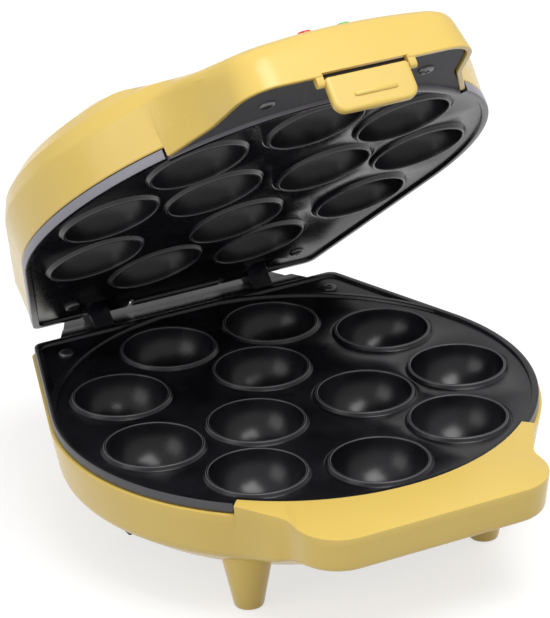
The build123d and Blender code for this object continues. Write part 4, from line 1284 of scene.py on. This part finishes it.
def photo_camera(lens):
    """Camera at the photograph's viewpoint."""
    turn, lift, roll = radians(-27.03), radians(24.46), radians(-2.14)
    back = Vector((sin(turn) * cos(lift), -cos(turn) * cos(lift), sin(lift)))
    right = (-back).cross(Vector((0, 0, 1))).normalized()
    up = right.cross(-back)
    place = right * -0.00705 + up * 0.03733 + back * 1.5317 + Vector((0, 0, 0.0578))
    across = cos(roll) * right + sin(roll) * up
    above = -sin(roll) * right + cos(roll) * up
    camera = bpy.data.cameras.new("photo_camera")
    camera.lens = lens
    camera.sensor_width = 36.0
    holder = bpy.data.objects.new("photo_camera", camera)
    holder.matrix_world = Matrix.Translation(place) @ Matrix((across, above, back)).transposed().to_4x4()
    bpy.context.scene.collection.objects.link(holder)
    bpy.context.scene.camera = holder


class CAKEPOP_OT_stage(bpy.types.Operator):
    """Set up the pale floor, the soft lamps, the white room and the camera"""

    bl_idname = "cake_pop.stage"
    bl_label = "Build Stage"

    def execute(self, context):
        stage = context.scene.cake_pop_maker.stage
        stage_floor(stage.floor)
        room_light(stage.sky)
        photo_camera(stage.lens)
        soft_lamp("key_lamp", (0.15, -0.65, 2.0), (0, 0, 0.1), 1.3, stage.key)
        soft_lamp("fill_lamp", (-1.8, -0.25, 0.75), (0, 0, 0.1), 1.2, stage.fill)
        context.scene.view_settings.view_transform = "Standard"
        return {"FINISHED"}


class CAKEPOP_OT_carried_parts(bpy.types.Operator):
    """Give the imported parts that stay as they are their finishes"""

    bl_idname = "cake_pop.carried_parts"
    bl_label = "Finish Carried Parts"

    def execute(self, context):
        for part in frame["record"]["subparts"]:
            paint(part["node"], FINISHES[part["material_slot"]]())
        soften("handle_panel", context.scene.cake_pop_maker.shell.edge)
        return {"FINISHED"}


# ---------------------------------------------------------------- panel and registration


class CAKEPOP_PT_sidebar(bpy.types.Panel):
    """Settings and pieces of the cake pop maker"""

    bl_idname = "CAKEPOP_PT_sidebar"
    bl_label = "Cake Pop Maker"
    bl_space_type = "VIEW_3D"
    bl_region_type = "UI"
    bl_category = "Cake Pops"

    def draw(self, context):
        settings = context.scene.cake_pop_maker
        for group in (settings.shell, settings.plate, settings.stage):
            box = self.layout.box()
            for name in group.__annotations__:
                box.prop(group, name)
        column = self.layout.column(align=True)
        for operator in OPERATORS:
            column.operator(operator.bl_idname)


SETTINGS = (CakePopShellSettings, CakePopPlateSettings, CakePopStageSettings, CakePopSettings)
OPERATORS = (
    CAKEPOP_OT_stage,
    CAKEPOP_OT_carried_parts,
    CAKEPOP_OT_lower_plate,
    CAKEPOP_OT_upper_plate,
    CAKEPOP_OT_lid_shell,
    CAKEPOP_OT_base_shell,
    CAKEPOP_OT_screws,
    CAKEPOP_OT_cord_cleats,
    CAKEPOP_OT_latch,
)


def register():
    """Add the settings, operators and panel."""
    for kind in (*SETTINGS, *OPERATORS, CAKEPOP_PT_sidebar):
        bpy.utils.register_class(kind)
    bpy.types.Scene.cake_pop_maker = bpy.props.PointerProperty(type=CakePopSettings)


def unregister():
    """Remove the panel, operators and settings."""
    del bpy.types.Scene.cake_pop_maker
    for kind in reversed((*SETTINGS, *OPERATORS, CAKEPOP_PT_sidebar)):
        bpy.utils.unregister_class(kind)


def main():
    """Build every piece and the stage."""
    register()
    bpy.ops.cake_pop.stage()
    bpy.ops.cake_pop.carried_parts()
    bpy.ops.cake_pop.lower_plate()
    bpy.ops.cake_pop.upper_plate()
    bpy.ops.cake_pop.lid_shell()
    bpy.ops.cake_pop.base_shell()
    bpy.ops.cake_pop.screws()
    bpy.ops.cake_pop.cord_cleats()
    bpy.ops.cake_pop.latch()


if __name__ == "__main__":
    main()
